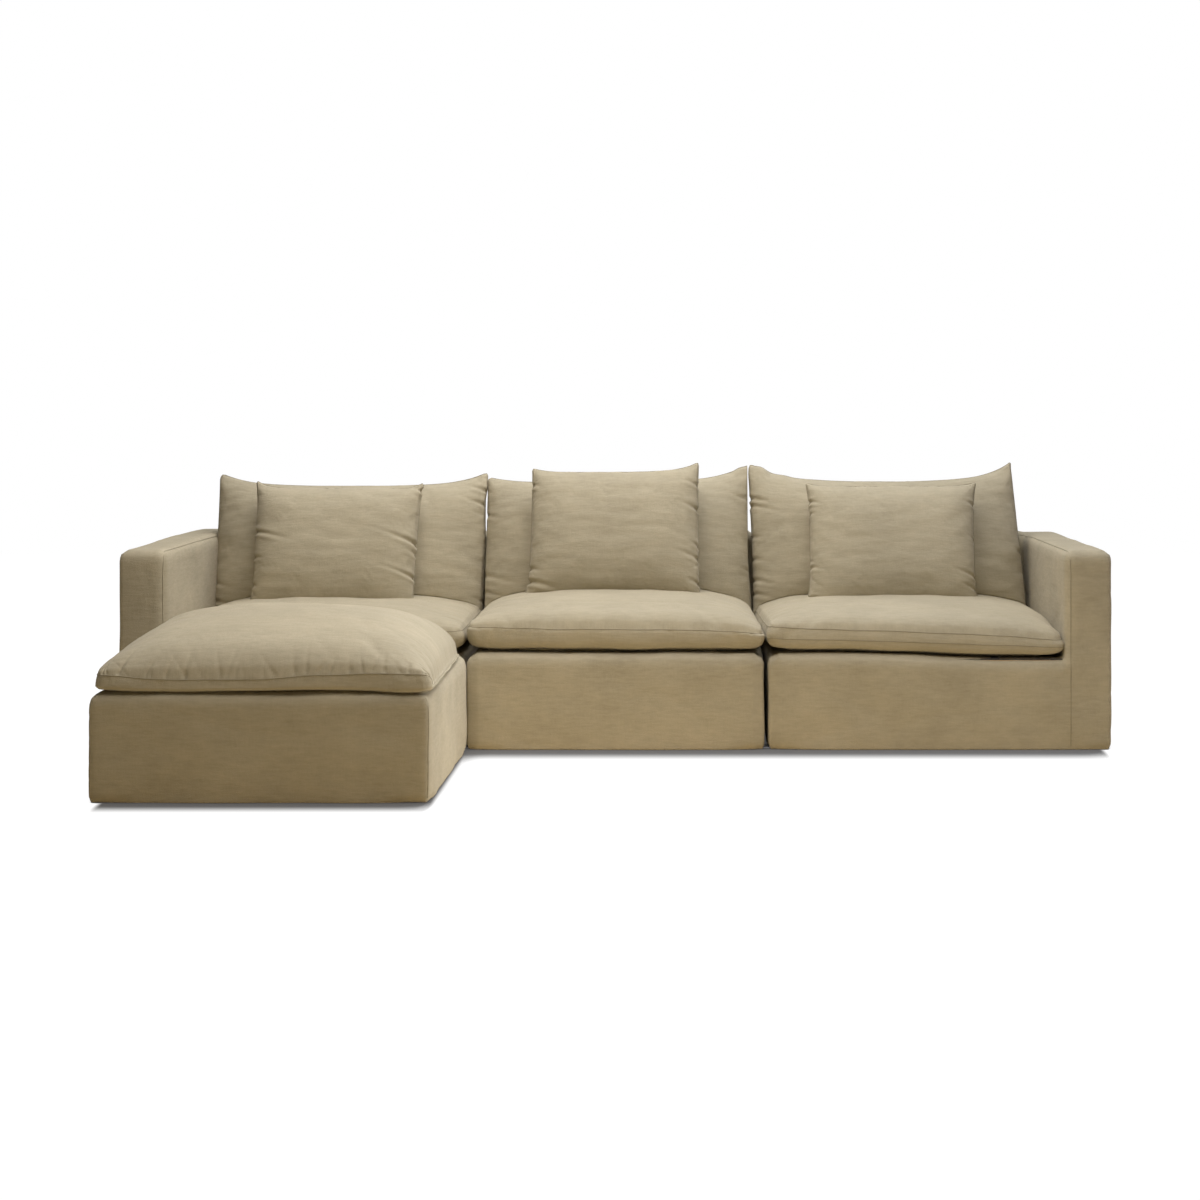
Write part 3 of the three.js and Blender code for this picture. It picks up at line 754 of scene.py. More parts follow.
def finer(grid):
    """The same panel with a point between each two, on a smooth curve through its neighbours."""
    for axis in (0, 1):
        rows = np.moveaxis(grid, axis, 0)
        ends = np.concatenate([2 * rows[:1] - rows[1:2], rows, 2 * rows[-1:] - rows[-2:-1]])
        between = (9 * (ends[1:-2] + ends[2:-1]) - ends[:-3] - ends[3:]) / 16
        dense = np.empty((2 * len(rows) - 1, *rows.shape[1:]))
        dense[::2], dense[1::2] = rows, between
        grid = np.moveaxis(dense, 0, axis)
    return grid


def made_finer(panels, points, where):
    """The panels again, twice as fine, from where their points have come to lie."""
    for panel, index in zip(panels, where):
        panel["at"] = finer(points[index])
        panel["map"] = finer(panel["map"])
    return welded(panels)


def vertex_normals(points, faces):
    spans = np.cross(points[faces[:, 2]] - points[faces[:, 0]], points[faces[:, 3]] - points[faces[:, 1]])
    total = np.zeros_like(points)
    for corner in range(4):
        for axis in range(3):
            total[:, axis] += np.bincount(faces[:, corner], weights=spans[:, axis], minlength=len(points))
    return total / np.maximum(np.linalg.norm(total, axis=1), 1e-12)[:, None]


def smoothed(field, faces, rounds):
    """A field on the points, evened out over their neighbours."""
    first = np.concatenate([faces[:, k] for k in range(4)])
    second = np.concatenate([faces[:, (k + 1) % 4] for k in range(4)])
    starts, ends = np.concatenate([first, second]), np.concatenate([second, first])
    counts = np.maximum(np.bincount(starts, minlength=len(field)), 1)[:, None]
    for _ in range(rounds):
        sums = [np.bincount(starts, weights=field[ends, k], minlength=len(field)) for k in range(3)]
        field = 0.5 * field + 0.5 * np.stack(sums, axis=-1) / counts
    return field


fill_frames = 15
linen_stretch = 25
smooth_rounds = 60
fillings = {"seat": (5.0, 0.5, 0.1), "pillow": (4.0, 0.35, 0.0)}


def filled(points, faces, kind, held, gathered, gather, folds):
    """Fills the closed skin with air in a cloth simulation. Of the folds that it makes a share is kept, and a
    smaller one of the slow change of shape, so that the cushion keeps the size it was cut to."""
    pressure, bend, slack = fillings[kind]
    mesh = quad_mesh("filling", points, faces)
    obj = mesh_object("filling", mesh)
    cloth = obj.modifiers.new("cloth", "CLOTH")
    settings = cloth.settings
    settings.quality = 4
    settings.mass = 0.25
    settings.air_damping = 4.0
    settings.tension_stiffness = linen_stretch
    settings.compression_stiffness = linen_stretch
    settings.shear_stiffness = linen_stretch / 3
    settings.bending_stiffness = bend
    settings.tension_damping = 8
    settings.compression_damping = 8
    settings.shear_damping = 4
    settings.use_pressure = True
    settings.uniform_pressure_force = pressure
    settings.effector_weights.gravity = 0
    cloth.collision_settings.use_collision = False
    cloth.collision_settings.use_self_collision = False
    for label, weights in (("held", held), ("gathered", gathered)):
        if weights is None:
            continue
        group = obj.vertex_groups.new(name=label)
        for index in np.flatnonzero(weights > 0):
            group.add([int(index)], float(weights[index]), "REPLACE")
    if held is not None:
        settings.vertex_group_mass = "held"
    settings.vertex_group_shrink = "gathered"
    settings.shrink_min = 0.0
    settings.shrink_max = gather
    cloth.point_cache.frame_start = 1
    cloth.point_cache.frame_end = fill_frames
    for step in range(1, fill_frames + 1):
        scene.frame_set(step)
    rested = evaluated_mesh(obj)
    moved = read_points(rested) - points
    bpy.data.objects.remove(obj)
    bpy.data.meshes.remove(mesh)
    bpy.data.meshes.remove(rested)
    scene.frame_set(1)
    slow = smoothed(moved, faces, smooth_rounds)
    return points + folds * (moved - slow) + slack * slow


def cushion_object(name, points, faces, places, seam_lines, body, replaced):
    mesh = quad_mesh(name, points, faces)
    layer = mesh.uv_layers.new(name=CLOTH_MAP)
    layer.data.foreach_set("uv", places.reshape(-1, 2).ravel())
    keep_seam_map(mesh, *seam_field(points, seam_lines))
    mesh.materials.append(cushion_linen)
    mesh.shade_smooth()
    obj = mesh_object(name, mesh)
    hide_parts(replaced)
    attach(obj, body)
    return obj


# Seams
# Where two panels meet they are sewn face to face and turned, so the seam stands as a fine rounded ridge.
# The ridge's linen is darker than the cloth: a painted shade for the shadow in the seam.
def path_tree(name, sizes):
    """A geometry tree that works on edges, with sizes and a material as its inputs. Gives the tree, its
    inputs, the curve along the edges, and the inputs' identifiers."""
    tree = bpy.data.node_groups.new(name, "GeometryNodeTree")
    face = tree.interface
    face.new_socket(name="Geometry", in_out="INPUT", socket_type="NodeSocketGeometry")
    keys = {}
    for label, value in sizes.items():
        socket = face.new_socket(name=label, in_out="INPUT", socket_type="NodeSocketFloat")
        socket.default_value = value
        keys[label] = socket.identifier
    socket = face.new_socket(name="Material", in_out="INPUT", socket_type="NodeSocketMaterial")
    keys["Material"] = socket.identifier
    face.new_socket(name="Geometry", in_out="OUTPUT", socket_type="NodeSocketGeometry")
    given = node(tree, "NodeGroupInput").outputs
    path = node(tree, "GeometryNodeMeshToCurve", {"Mesh": given["Geometry"]}).outputs[0]
    return tree, given, path, keys


def sweep(tree, given, path, profile, smooth):
    """Draws a closed profile along the path, and ends the tree with it as a real mesh in its material."""
    sockets = {"Curve": path, "Profile Curve": profile, "Fill Caps": True}
    shape = node(tree, "GeometryNodeCurveToMesh", sockets).outputs[0]
    if smooth:
        shape = node(tree, "GeometryNodeSetShadeSmooth", {"Geometry": shape}).outputs[0]
    shape = node(tree, "GeometryNodeRealizeInstances", {"Geometry": shape}).outputs[0]
    sockets = {"Geometry": shape, "Material": given["Material"]}
    shape = node(tree, "GeometryNodeSetMaterial", sockets).outputs[0]
    tree.links.new(shape, node(tree, "NodeGroupOutput").inputs[0])


def seam_tree():
    tree, given, path, keys = path_tree("sewn ridge", {"Radius": 0.0018, "Step": 0.012})
    sockets = {"Curve": path, "Length": given["Step"]}
    even = node(tree, "GeometryNodeResampleCurve", sockets, mode="LENGTH").outputs[0]
    ridge = node(tree, "GeometryNodeCurvePrimitiveCircle", {"Resolution": 6, "Radius": given["Radius"]})
    sweep(tree, given, even, ridge.outputs["Curve"], True)
    return tree, keys


SEAM_TREE = seam_tree()


def path_object(name, lines):
    """Edges along each line of points. A line is (points, closed)."""
    verts, edges = [], []
    for line, closed in lines:
        start = len(verts)
        verts += [tuple(p) for p in line]
        edges += [(start + i, start + i + 1) for i in range(len(line) - 1)]
        if closed:
            edges.append((start + len(line) - 1, start))
    mesh = bpy.data.meshes.new(name)
    mesh.from_pydata(verts, edges, [])
    return mesh_object(name, mesh)


def grown(obj, tree, keys, **values):
    """Runs a geometry tree on the object and keeps the result as its plain mesh."""
    modifier = obj.modifiers.new("grown", "NODES")
    modifier.node_group = tree
    for label, value in values.items():
        modifier[keys[label]] = value
    made = evaluated_mesh(obj)
    obj.modifiers.clear()
    old = obj.data
    obj.data = made
    bpy.data.meshes.remove(old)


seam_radius = 0.0014
seam_step = 0.010


def sewn_seam(name, lines, body, radius=seam_radius):
    obj = path_object(name, lines)
    grown(obj, *SEAM_TREE, Radius=radius, Step=seam_step, Material=seam_linen_painted_shade)
    box_map(obj.data)
    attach(obj, body)


def on_surface(obj, line, lift):
    """The line laid on the object's skin, and then a little out of it."""
    tree = tree_of(obj)
    laid = []
    for point in line:
        spot, normal, _, _ = tree.find_nearest(point)
        laid.append(np.array(spot) + lift * np.array(normal))
    laid = np.array(laid)
    laid[1:-1] = (laid[:-2] + 2 * laid[1:-1] + laid[2:]) / 4
    return laid


def tree_of(obj):
    corners = [vertex.co.copy() for vertex in obj.data.vertices]
    return BVHTree.FromPolygons(corners, [tuple(polygon.vertices) for polygon in obj.data.polygons])


laid_step = 0.012
laid_lift = 0.0002
for unit, lines in cover_seams.items():
    laid = [(on_surface(covers[unit], drawn(line, laid_step), laid_lift), False) for line in lines]
    sewn_seam(f"{unit}_cover_seams", laid, cover_cuts[unit][1])


# Seat cushions
# Box-edged linen cushions with a foam core in a wrap of feathers. A sewn seam runs round the upper edge, the
# top swells well above it, and the band under it is held flat by the seat deck. The ottoman's is the fullest.
seat_cells = ((62, 56, 6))
band_puckers = (0.045, 0.007, 0.02, 0.0025)
front_slack = 0.006
back_slack = 0.0005


def fullness(u, v):
    return np.clip((1 - np.abs(u) ** 6) * (1 - np.abs(v) ** 6), 0, 1)


def shoulder(distance, reach):
    """The rounded edge of the filling: a quarter circle, 0 at the edge and 1 from reach inwards."""
    return np.sqrt(1 - (1 - np.clip(distance / reach, 0, 1)) ** 2)


def edge_spaced(count, amount=0.55):
    """Even steps from -1 to 1, drawn a little towards the ends."""
    t = np.linspace(-1, 1, count + 1)
    return (1 - amount) * t + amount * np.sin(t * math.pi / 2)


def seat_place(plan, u, v, inset):
    """Where (u, v) of a seat panel lies in plan, with the corners rounded, and more so lower down."""
    depth = plan["back"] - plan["front"] - 2 * inset
    y = plan["front"] + inset + (v + 1) * depth / 2
    along = (y - plan["front"]) / (plan["back"] - plan["front"])
    side_inset = plan["side_cut"] * inset
    left = plan["left"][0] + (plan["left"][1] - plan["left"][0]) * along + side_inset
    right = plan["right"][0] + (plan["right"][1] - plan["right"][0]) * along - side_inset
    radius = np.where((u > 0) & (v > 0), plan["far_corner"], plan["corner"]) + 1.5 * inset
    corner_u = np.clip((np.abs(u) - 1) * ((right - left) / 2 / radius) + 1, 0, 1)
    corner_v = np.clip((np.abs(v) - 1) * (depth / 2 / radius) + 1, 0, 1)
    x = (left + right) / 2 + u * (right - left) / 2
    x = x - np.sign(u) * corner_u * (1 - np.sqrt(1 - corner_v**2 / 2)) * radius
    y = y - np.sign(v) * corner_v * (1 - np.sqrt(1 - corner_u**2 / 2)) * radius
    return x, y


def band_rows(plan, rows):
    """The box band from the seam down, as (height share, inset) pairs. It bulges and then turns under."""
    turned, inset, under_cut = plan["turned"], plan["seam_in"], plan["under_cut"]
    upright = [(1.0, inset), (0.5 + turned / 2, inset * 0.25)][: rows // 2 - 1]
    bends = np.linspace(0, math.pi / 2, rows + 1 - len(upright))
    return upright + [(turned * (1 - math.sin(b)), under_cut * (1 - math.cos(b))) for b in bends]


def seat_panels(plan, bottom_z, across, deep, rows):
    us, vs = edge_spaced(across), edge_spaced(deep)
    grid_u, grid_v = np.meshgrid(us, vs)
    half_width = (plan["right"][0] - plan["left"][0]) / 2
    half_depth = (plan["back"] - plan["front"]) / 2
    seam, lift = plan["seam"], plan["lift"]
    x, y = seat_place(plan, grid_u, grid_v, plan["seam_in"])
    sides = (1 - np.abs(grid_u) ** plan["power"]) ** plan["root"]
    round_share, round_reach = plan["round_edge"]
    ends = round_share * shoulder((1 - np.abs(grid_v)) * half_depth, round_reach)
    ends = ends + (1 - round_share) * (1 - np.abs(grid_v) ** 2.2)
    top = np.stack([x, y, bottom_z + seam + plan["crown"] * sides * ends], axis=-1)
    flat = np.stack([grid_u * half_width, grid_v * half_depth], axis=-1)
    x, y = seat_place(plan, grid_u, grid_v, plan["under_cut"])
    from_rim = np.minimum((1 - np.abs(grid_u)) * half_width, (1 - np.abs(grid_v)) * half_depth)
    base = np.stack([x, y, bottom_z + lift * (1 - ramp(from_rim, 0, 0.06))], axis=-1)
    panels = [{"at": top, "map": flat, "flip": False}, {"at": base, "map": flat + 3.0, "flip": True}]
    for line_u, line_v, half in (
        (us, np.full_like(us, -1), half_width),
        (np.full_like(vs, 1), vs, half_depth),
        (us[::-1], np.full_like(us, 1), half_width),
        (np.full_like(vs, -1), vs[::-1], half_depth),
    ):
        run = np.linspace(-half, half, len(line_u))
        band, places = [], []
        for height, inset in band_rows(plan, rows):
            x, y = seat_place(plan, line_u, line_v, inset)
            z = np.full_like(x, bottom_z + lift + (seam - lift) * height)
            band.append(np.stack([x, y, z], axis=-1))
            places.append(np.stack([run, np.full_like(run, seam * height - 0.6 * inset)], axis=-1))
        panels.append({"at": np.array(band), "map": np.array(places), "flip": True})
    return panels


def ring(points, where, row):
    """The line round a seat cushion at one row of its band."""
    return np.concatenate([points[where[side][row]][:-1] for side in range(2, 6)])


def seat_cushion(unit, body, node_name, plan, seed):
    bottom_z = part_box(node_name)[0][2]
    seam = plan["seam"]
    panels = seat_panels(plan, bottom_z, *seat_cells)
    points, faces, places, where = welded(panels)
    held = np.clip((bottom_z + 0.5 * seam - points[:, 2]) / (0.2 * seam), 0, 1)
    gathered = np.zeros(len(points))
    for rim in where[2:]:
        gathered[rim[0]] = 1.0
    points = filled(points, faces, "seat", held, gathered, plan["gather"], plan["folds"])
    points, faces, places, where = made_finer(panels, points, where)
    if plan["extra_fine"]:
        points, faces, places, where = made_finer(panels, points, where)
    rim = ring(points, where, 0)
    run, away = seam_field(points, [rim])
    normals = vertex_normals(points, faces)
    across, deep = panels[0]["at"].shape[1], panels[0]["at"].shape[0]
    us, vs = np.meshgrid(np.linspace(-1, 1, across), np.linspace(-1, 1, deep))
    on_top = np.zeros(len(points))
    on_top[where[0].ravel()] = fullness(us, vs).ravel()
    # Long slack ripples and a few creases on the top, and an uneven band
    slack = swell(points, seed, 0.34, (2.0, 1, 1)) + 0.5 * swell(points, seed + 1, 0.13)
    slack -= 0.8 * creases(points, seed + 2, 0.60, (1.8, 1, 1), 0.09)
    push = plan["ripple"] * slack * on_top
    top_points = np.zeros(len(points), bool)
    top_points[where[0].ravel()] = True
    nearest = np.clip(points[:, 1] - plan["front"], 0, None)
    strength = 0.45 + 0.55 * np.exp(-nearest / 0.10)
    push -= np.where(top_points, puckers(run, away, seed + 3, *plan["puckers"]) * strength, 0)
    push -= np.where(top_points, 0, puckers(run, away, seed + 4, *band_puckers))
    band = np.sin(np.clip((points[:, 2] - bottom_z) / seam, 0, 1) * math.pi)
    push += np.where(top_points, 0, 0.0016 * band * swell(points, seed + 5, 0.17))
    points = points + normals * push[:, None]
    # The front seam isn't level: it follows how full each end is
    share = (points[:, 0] - plan["left"][0]) / (plan["right"][0] - plan["left"][0])
    spots, drops = zip(*plan["seam_line"])
    level = np.interp(share, spots, drops) + 0.0012 * swell(points * [1, 1, 0], seed + 6, 0.16)
    risen = np.clip((points[:, 2] - bottom_z) / seam, 0, 1)
    nearby = np.exp(-nearest / 0.22) * np.exp(-away / 0.10)
    points[:, 2] += level * risen * nearby
    # Along the right side the top panel rolls out over its seam
    rolled = ramp(share, 0.8, 0.95) * ramp(nearest, 0.0, 0.07) * np.exp(-away / 0.05)
    points[:, 2] -= plan["side_roll"] * risen * rolled
    # The lower front edge hangs a little unevenly over the shadow under it
    low_edge = np.exp(-((points[:, 2] - bottom_z) / (0.5 * seam)) ** 2) * np.exp(-nearest / 0.05)
    points[:, 2] += 0.0028 * low_edge * swell(points * [1, 0.3, 0], seed + 7, 0.30)
    points[:, 2] = np.maximum(points[:, 2], bottom_z)
    if unit == "right":
        sag = edge_sag * ramp(points[:, 0], *edge_sag_span) * (1 - ramp(nearest, 0.05, 0.30))
        points[:, 2] -= sag * (1 - 0.6 * risen)
    points[:, 1] = np.clip(points[:, 1], plan["front"] - front_slack, plan["back"] - back_slack)
    low_row = round(plan["low_seam"] * (len(panels[2]["at"]) - 1))
    lines = [ring(points, where, row) for row in (0, low_row)]
    obj = cushion_object(f"{unit}_seat_linen", points, faces, places, lines[:1], body, node_name)
    sewn_seam(f"{unit}_seat_seam", [(line, True) for line in lines], body)
    return obj


joint_half = 0.479
arm_inner = 1.432
seat_looks = {
    "left": {
        "left": (-arm_inner, -arm_inner),
        "right": (-joint_half - 0.001, -joint_half - 0.013),
        "crown": 0.058,
        "seam_line": ((0, 0.0), (1, 0.0)),
        "low_seam": 0.8,
    },
    "centre": {
        "left": (-joint_half + 0.001, -joint_half - 0.011),
        "right": (joint_half - 0.001, joint_half - 0.033),
        "crown": 0.084,
        "turned": 0.80,
        "under_cut": 0.038,
        "side_cut": 0.8,
        "seam_line": ((0, 0.016), (0.22, 0.009), (0.5, 0.007), (0.8, 0.004), (1, -0.010)),
        "low_seam": 0.8,
    },
    "right": {
        "left": (joint_half + 0.001, joint_half - 0.031),
        "right": (arm_inner, arm_inner),
        "crown": 0.066,
        "seam_line": ((0, 0.014), (0.3, 0.006), (0.6, 0.0), (0.85, -0.010), (1, -0.026)),
        "low_seam": 0.45,
    },
}
usual_seat = {
    "corner": 0.030,
    "far_corner": 0.030,
    "seam": 0.075,
    "seam_in": 0.004,
    "turned": 0.60,
    "under_cut": 0.028,
    "side_cut": 1.5,
    "lift": 0.016,
    "round_edge": (0.66, 0.060),
    "extra_fine": False,
    "side_roll": 0.0,
    "power": 3.0,
    "root": 0.4,
    "gather": 0.06,
    "folds": 0.30,
    "ripple": 0.0024,
    "puckers": (0.050, 0.007, 0.030, 0.0035),
}
seats = {}
for order, (unit, look) in enumerate(seat_looks.items()):
    low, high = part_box(f"{unit}_seat_cushion")
    plan = {"front": low[1], "back": high[1], **usual_seat, **look}
    seats[unit] = seat_cushion(unit, f"{unit}_seat", f"{unit}_seat_cushion", plan, 100 + 50 * order)
low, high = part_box("chaise_cushion")
chaise_plan = {
    "front": low[1],
    "back": high[1],
    "left": (low[0] + 0.003, low[0] - 0.003),
    "right": (high[0], high[0] - 0.020),
    "corner": 0.030,
    "far_corner": 0.100,
    "seam": 0.046,
    "seam_in": 0.003,
    "turned": 0.30,
    "under_cut": 0.012,
    "side_cut": 1.0,
    "lift": 0.007,
    "round_edge": (0.44, 0.090),
    "extra_fine": True,
    "side_roll": 0.034,
    "crown": 0.152,
    "power": 2.8,
    "root": 0.46,
    "gather": 0.08,
    "folds": 0.22,
    "ripple": 0.0026,
    "puckers": (0.034, 0.0048, 0.036, 0.0080),
    "seam_line": ((0, 0.006), (0.25, -0.008), (0.5, -0.006), (0.62, 0.003), (0.85, 0.010), (1, 0.006)),
    "low_seam": 0.8,
}
seat_cushion("chaise", "chaise_top", "chaise_cushion", chaise_plan, 300)


# Back cushions
# Knife-edged cushions with a feather insert: two flat panels sewn round all four sides. They stand on the
# seats, lean on the padded back, and sag fuller towards the bottom, with pointed corners at the top.
pillow_sides = (3.4, 0.46)
pillow_top = (2.6, 0.50)
pillow_foot_root = 0.56
dent_slope = 0.30
dent_lips = ((1.9, 0.45), (-1.9, 0.25))
notch_reach = 0.012
notch_share = 0.25
pillow_cell = 0.0105
pillow_swells = ((0.0016, 0.22, (1, 1, 1)), (0.0007, 0.07, (2, 1, 1)), (0.0005, 0.035, (5, 1, 1)))
pillow_seam_radius = 0.0015

def pillow_panels(width, height, thick, look, across, up):
    grid_u, grid_v = np.meshgrid(edge_spaced(across, 0.5), edge_spaced(up, 0.5))
    draw_x, draw_z = look["drawn"]
    x = grid_u * width / 2 * (1 - draw_x * (1 - grid_v**4) * grid_u**2)
    upper = np.clip(grid_v, 0, 1)
    z = grid_v * height / 2 - height / 2 * draw_z * (1 - np.abs(grid_u) ** look["ear_edge"]) * upper**3
    # The corners are sewn round, some more than others
    tip = np.full_like(grid_u, look["tip"])
    for (side, end), radius in look.get("tips", {}).items():
        tip[(side * grid_u > 0) & (end * grid_v > 0)] = radius
    corner_u = np.clip((np.abs(grid_u) - 1) * (width / 2 / tip) + 1, 0, 1)
    corner_v = np.clip((np.abs(grid_v) - 1) * (height / 2 / tip) + 1, 0, 1)
    x = x - np.sign(grid_u) * corner_u * (1 - np.sqrt(1 - corner_v**2 / 2)) * tip
    z = z - np.sign(grid_v) * corner_v * (1 - np.sqrt(1 - corner_u**2 / 2)) * tip
    flat = np.stack([grid_u * width / 2, grid_v * height / 2], axis=-1)
    for (side, end), (out, lift) in look["ears"].items():
        corner = (1 + side * grid_u) / 2 * (1 + end * grid_v) / 2
        x = x + out * corner**1.5
        z = z + lift * corner ** look["ear_power"]
    # The filling stands up in places along the top edge
    for side, place, wide, high in look["bumps"]:
        from_side = (1 - side * grid_u) * width / 2
        z = z + high * np.exp(-(((from_side - place) / wide) ** 2)) * upper**4
    # A lower corner may lie squashed out on the seat, as a little flat lobe
    for side, reach in look["lobes"]:
        corner = (1 + side * grid_u) / 2 * (1 - grid_v) / 2
        x = x + side * reach * corner**18
    panels = []
    for face in (-1, 1):
        sides = (1 - np.abs(grid_u) ** pillow_sides[0]) ** pillow_sides[1]
        top = (1 - upper ** pillow_top[0]) ** pillow_top[1]
        foot = (1 - np.abs(grid_v) ** look["belly"]) ** pillow_foot_root
        ends = np.where(grid_v > 0, top, foot)
        y = face * thick / 2 * sides * ends * (1 - look["sag"] * grid_v)
        at = np.stack([x, y, z], axis=-1)
        panels.append({"at": at, "map": flat + (0 if face < 0 else 3.0), "flip": face > 0})
    return panels


def rim_of(points, where):
    """The line round a pillow, where its two panels meet."""
    rim = points[where[0]]
    return np.concatenate([rim[0, :-1], rim[:-1, -1], rim[-1, :0:-1], rim[:0:-1, 0]])


def pillow(name, body, node_name, size, lean, centre, look, rules, seed):
    """size is width, height and thickness, not yet pressed. rules move placed points off their neighbours."""
    width, height, thick = size
    across, up = round(width / pillow_cell), round(height / pillow_cell)
    panels = pillow_panels(width, height, thick, look, across, up)
    points, faces, places, where = welded(panels)
    gathered = np.zeros(len(points))
    gathered[where[0][border(where[0].shape)]] = 1.0
    points = filled(points, faces, "pillow", None, gathered, look["gather"], look["folds"])
    points, faces, places, where = made_finer(panels, points, where)
    if look["extra_fine"]:
        points, faces, places, where = made_finer(panels, points, where)
    run, away = seam_field(points, [rim_of(points, where)])
    normals = vertex_normals(points, faces)
    inside = 1 - np.exp(-away / 0.03)
    push = 0.0
    for order, (high, wave, stretch) in enumerate(pillow_swells):
        push = push + inside * high * swell(points, seed + 5 + order, wave, stretch)
    push -= puckers(run, away, seed + 8, *look["puckers"])
    front = normals[:, 1] < 0.2
    for side, height_share, length, wide, deep in look["dents"]:
        from_side = np.clip(width / 2 - side * points[:, 0], 0, None)
        level = height_share * height / 2
        across = (points[:, 2] - level - dent_slope * from_side * side) / wide
        lips = sum(high * np.exp(-((across + place) ** 2)) for place, high in dent_lips)
        fold = (np.exp(-(across**2)) - lips) * np.exp(-((from_side / length) ** 2))
        push -= np.where(front, deep * fold, 0)
        notch = np.exp(-(across**2)) * np.exp(-from_side / notch_reach)
        points[:, 0] -= side * notch_share * deep * notch
    points = points + normals * push[:, None]
    # Lean back, and stand in place
    turn = math.radians(lean)
    y = points[:, 1] * math.cos(turn) + points[:, 2] * math.sin(turn)
    z = -points[:, 1] * math.sin(turn) + points[:, 2] * math.cos(turn)
    points = np.stack([points[:, 0] + centre[0], y + centre[1], z + centre[2]], axis=-1)
    for _ in range(2):
        for rule in rules:
            points = rule(points)
    rim = rim_of(points, where)
    obj = cushion_object(name, points, faces, places, [rim], body, node_name)
    sewn_seam(name.replace("linen", "seam"), [(rim, True)], body, pillow_seam_radius)
    return obj


def above(obj, gap):
    """Keeps points above another piece's top."""
    tree = tree_of(obj)
    reach = max(v.co.z for v in obj.data.vertices) + 0.01

    def rule(points):
        moved = points.copy()
        for index in np.flatnonzero(points[:, 2] < reach):
            x, y, z = points[index]
            hit = tree.ray_cast((x, y, reach), (0, 0, -1))[0]
            if hit is not None and z < hit.z + gap:
                moved[index, 2] = hit.z + gap
        return moved

    return rule


def before(obj, gap):
    """Keeps points in front of another piece."""
    tree = tree_of(obj)
    start = min(v.co.y for v in obj.data.vertices) - 0.3

    def rule(points):
        moved = points.copy()
        for index, (x, y, z) in enumerate(points):
            hit = tree.ray_cast((x, start, z), (0, 1, 0))[0]
            if hit is not None and y > hit.y - gap:
                moved[index, 1] = hit.y - gap
        return moved

    return rule


unit_back = unit_back_edge - back_thick


def off_the_back(points):
    """Keeps points in front of the padded back, or on top of it."""
    moved = points.copy()
    behind = (moved[:, 1] > unit_back - 0.003) & (moved[:, 2] < arm_height + 0.005)
    shallow = behind & (moved[:, 2] > arm_height - 0.02) & (moved[:, 1] > unit_back + 0.02)
    moved[shallow, 2] = arm_height + 0.005
    moved[behind & ~shallow, 1] = unit_back - 0.003
    return moved


def between(left, right):
    """Keeps points inside a span of x that changes with height. Each side is a line of (height, x) pairs."""

    def rule(points):
        moved = points.copy()
        low, high = (np.interp(points[:, 2], *zip(*side)) for side in (left, right))
        moved[:, 0] = np.clip(moved[:, 0], low, high)
        return moved

    return rule


back_size = (0.525, 0.240)
back_pressed = 0.035
back_lean = 12
seat_top = 0.3753
back_looks = {
    "left": {
        "sink": 0.018,
        "wider": (0.003, 0.008),
        "drawn": (0.004, 0.111),
        "tips": {(-1, 1): 0.024, (1, 1): 0.030},
        "ears": {
            (-1, 1): (-0.007, 0.018), (1, 1): (0.004, 0.024), (-1, -1): (-0.018, 0.0), (1, -1): (-0.014, 0.0)
        },
        "ear_edge": 6,
        "lobes": [],
        "dents": [
            (1, 0.80, 0.053, 0.0067, 0.0054), (1, 0.60, 0.06, 0.0067, 0.006),
            (1, 0.45, 0.038, 0.006, 0.0036), (-1, -0.45, 0.038, 0.006, 0.0042),
            (-1, -0.68, 0.053, 0.006, 0.0042), (1, -0.70, 0.03, 0.006, 0.0036),
        ],
    },
    "centre": {
        "sink": 0.005,
        "wider": (0.0, 0.004),
        "tips": {(-1, 1): 0.020, (1, 1): 0.012},
        "ears": {(-1, 1): (-0.002, -0.010), (-1, -1): (-0.018, 0.0), (1, 1): (-0.006, 0.034)},
        "ear_edge": 5,
        "bumps": [(1, 0.035, 0.018, 0.006)],
        "lobes": [],
        "dents": [
            (-1, 0.42, 0.038, 0.0067, 0.0042), (-1, -0.40, 0.105, 0.0083, 0.003),
            (-1, -0.62, 0.075, 0.0075, 0.003), (1, 0.62, 0.053, 0.0067, 0.0048),
            (1, 0.48, 0.03, 0.006, 0.0036), (1, -0.35, 0.038, 0.0067, 0.0036),
        ],
    },
    "right": {
        "sink": -0.003,
        "wider": (0.004, 0.0),
        "drawn": (0.004, 0.140),
        "tips": {(1, 1): 0.006, (-1, 1): 0.034},
        "ears": {
            (-1, 1): (-0.018, 0.036), (-1, -1): (0.002, 0.0), (1, 1): (-0.030, 0.038), (1, -1): (0.014, 0.0)
        },
        "ear_power": 5,
        "bumps": [(-1, 0.048, 0.022, 0.011), (-1, 0.130, 0.025, 0.004)],
        "lobes": [(-1, 0.012)],
        "dents": [
            (-1, 0.62, 0.045, 0.0067, 0.0048), (-1, 0.52, 0.068, 0.0067, 0.0036),
            (-1, 0.10, 0.03, 0.006, 0.0036), (-1, -0.20, 0.03, 0.006, 0.0036),
            (-1, -0.48, 0.06, 0.0067, 0.0048), (-1, -0.66, 0.053, 0.0067, 0.0042),
            (1, -0.12, 0.038, 0.006, 0.0036),
        ],
    },
}
back_spans = [[corner[0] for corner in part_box(f"{unit}_back_cushion")] for unit in back_looks]
neighbour_edges = [(back_spans[k][1] + back_spans[k + 1][0]) / 2 for k in (0, 1)]
side_limits = [back_spans[0][0] - 0.022, *neighbour_edges, back_spans[2][1] + 0.006]
cloth_gap = 0.001
joint_gap = 0.0008
left_limits = [[(0.0, limit + joint_gap)] for limit in side_limits[:3]]
right_limits = [[(0.0, limit - joint_gap)] for limit in side_limits[1:]]


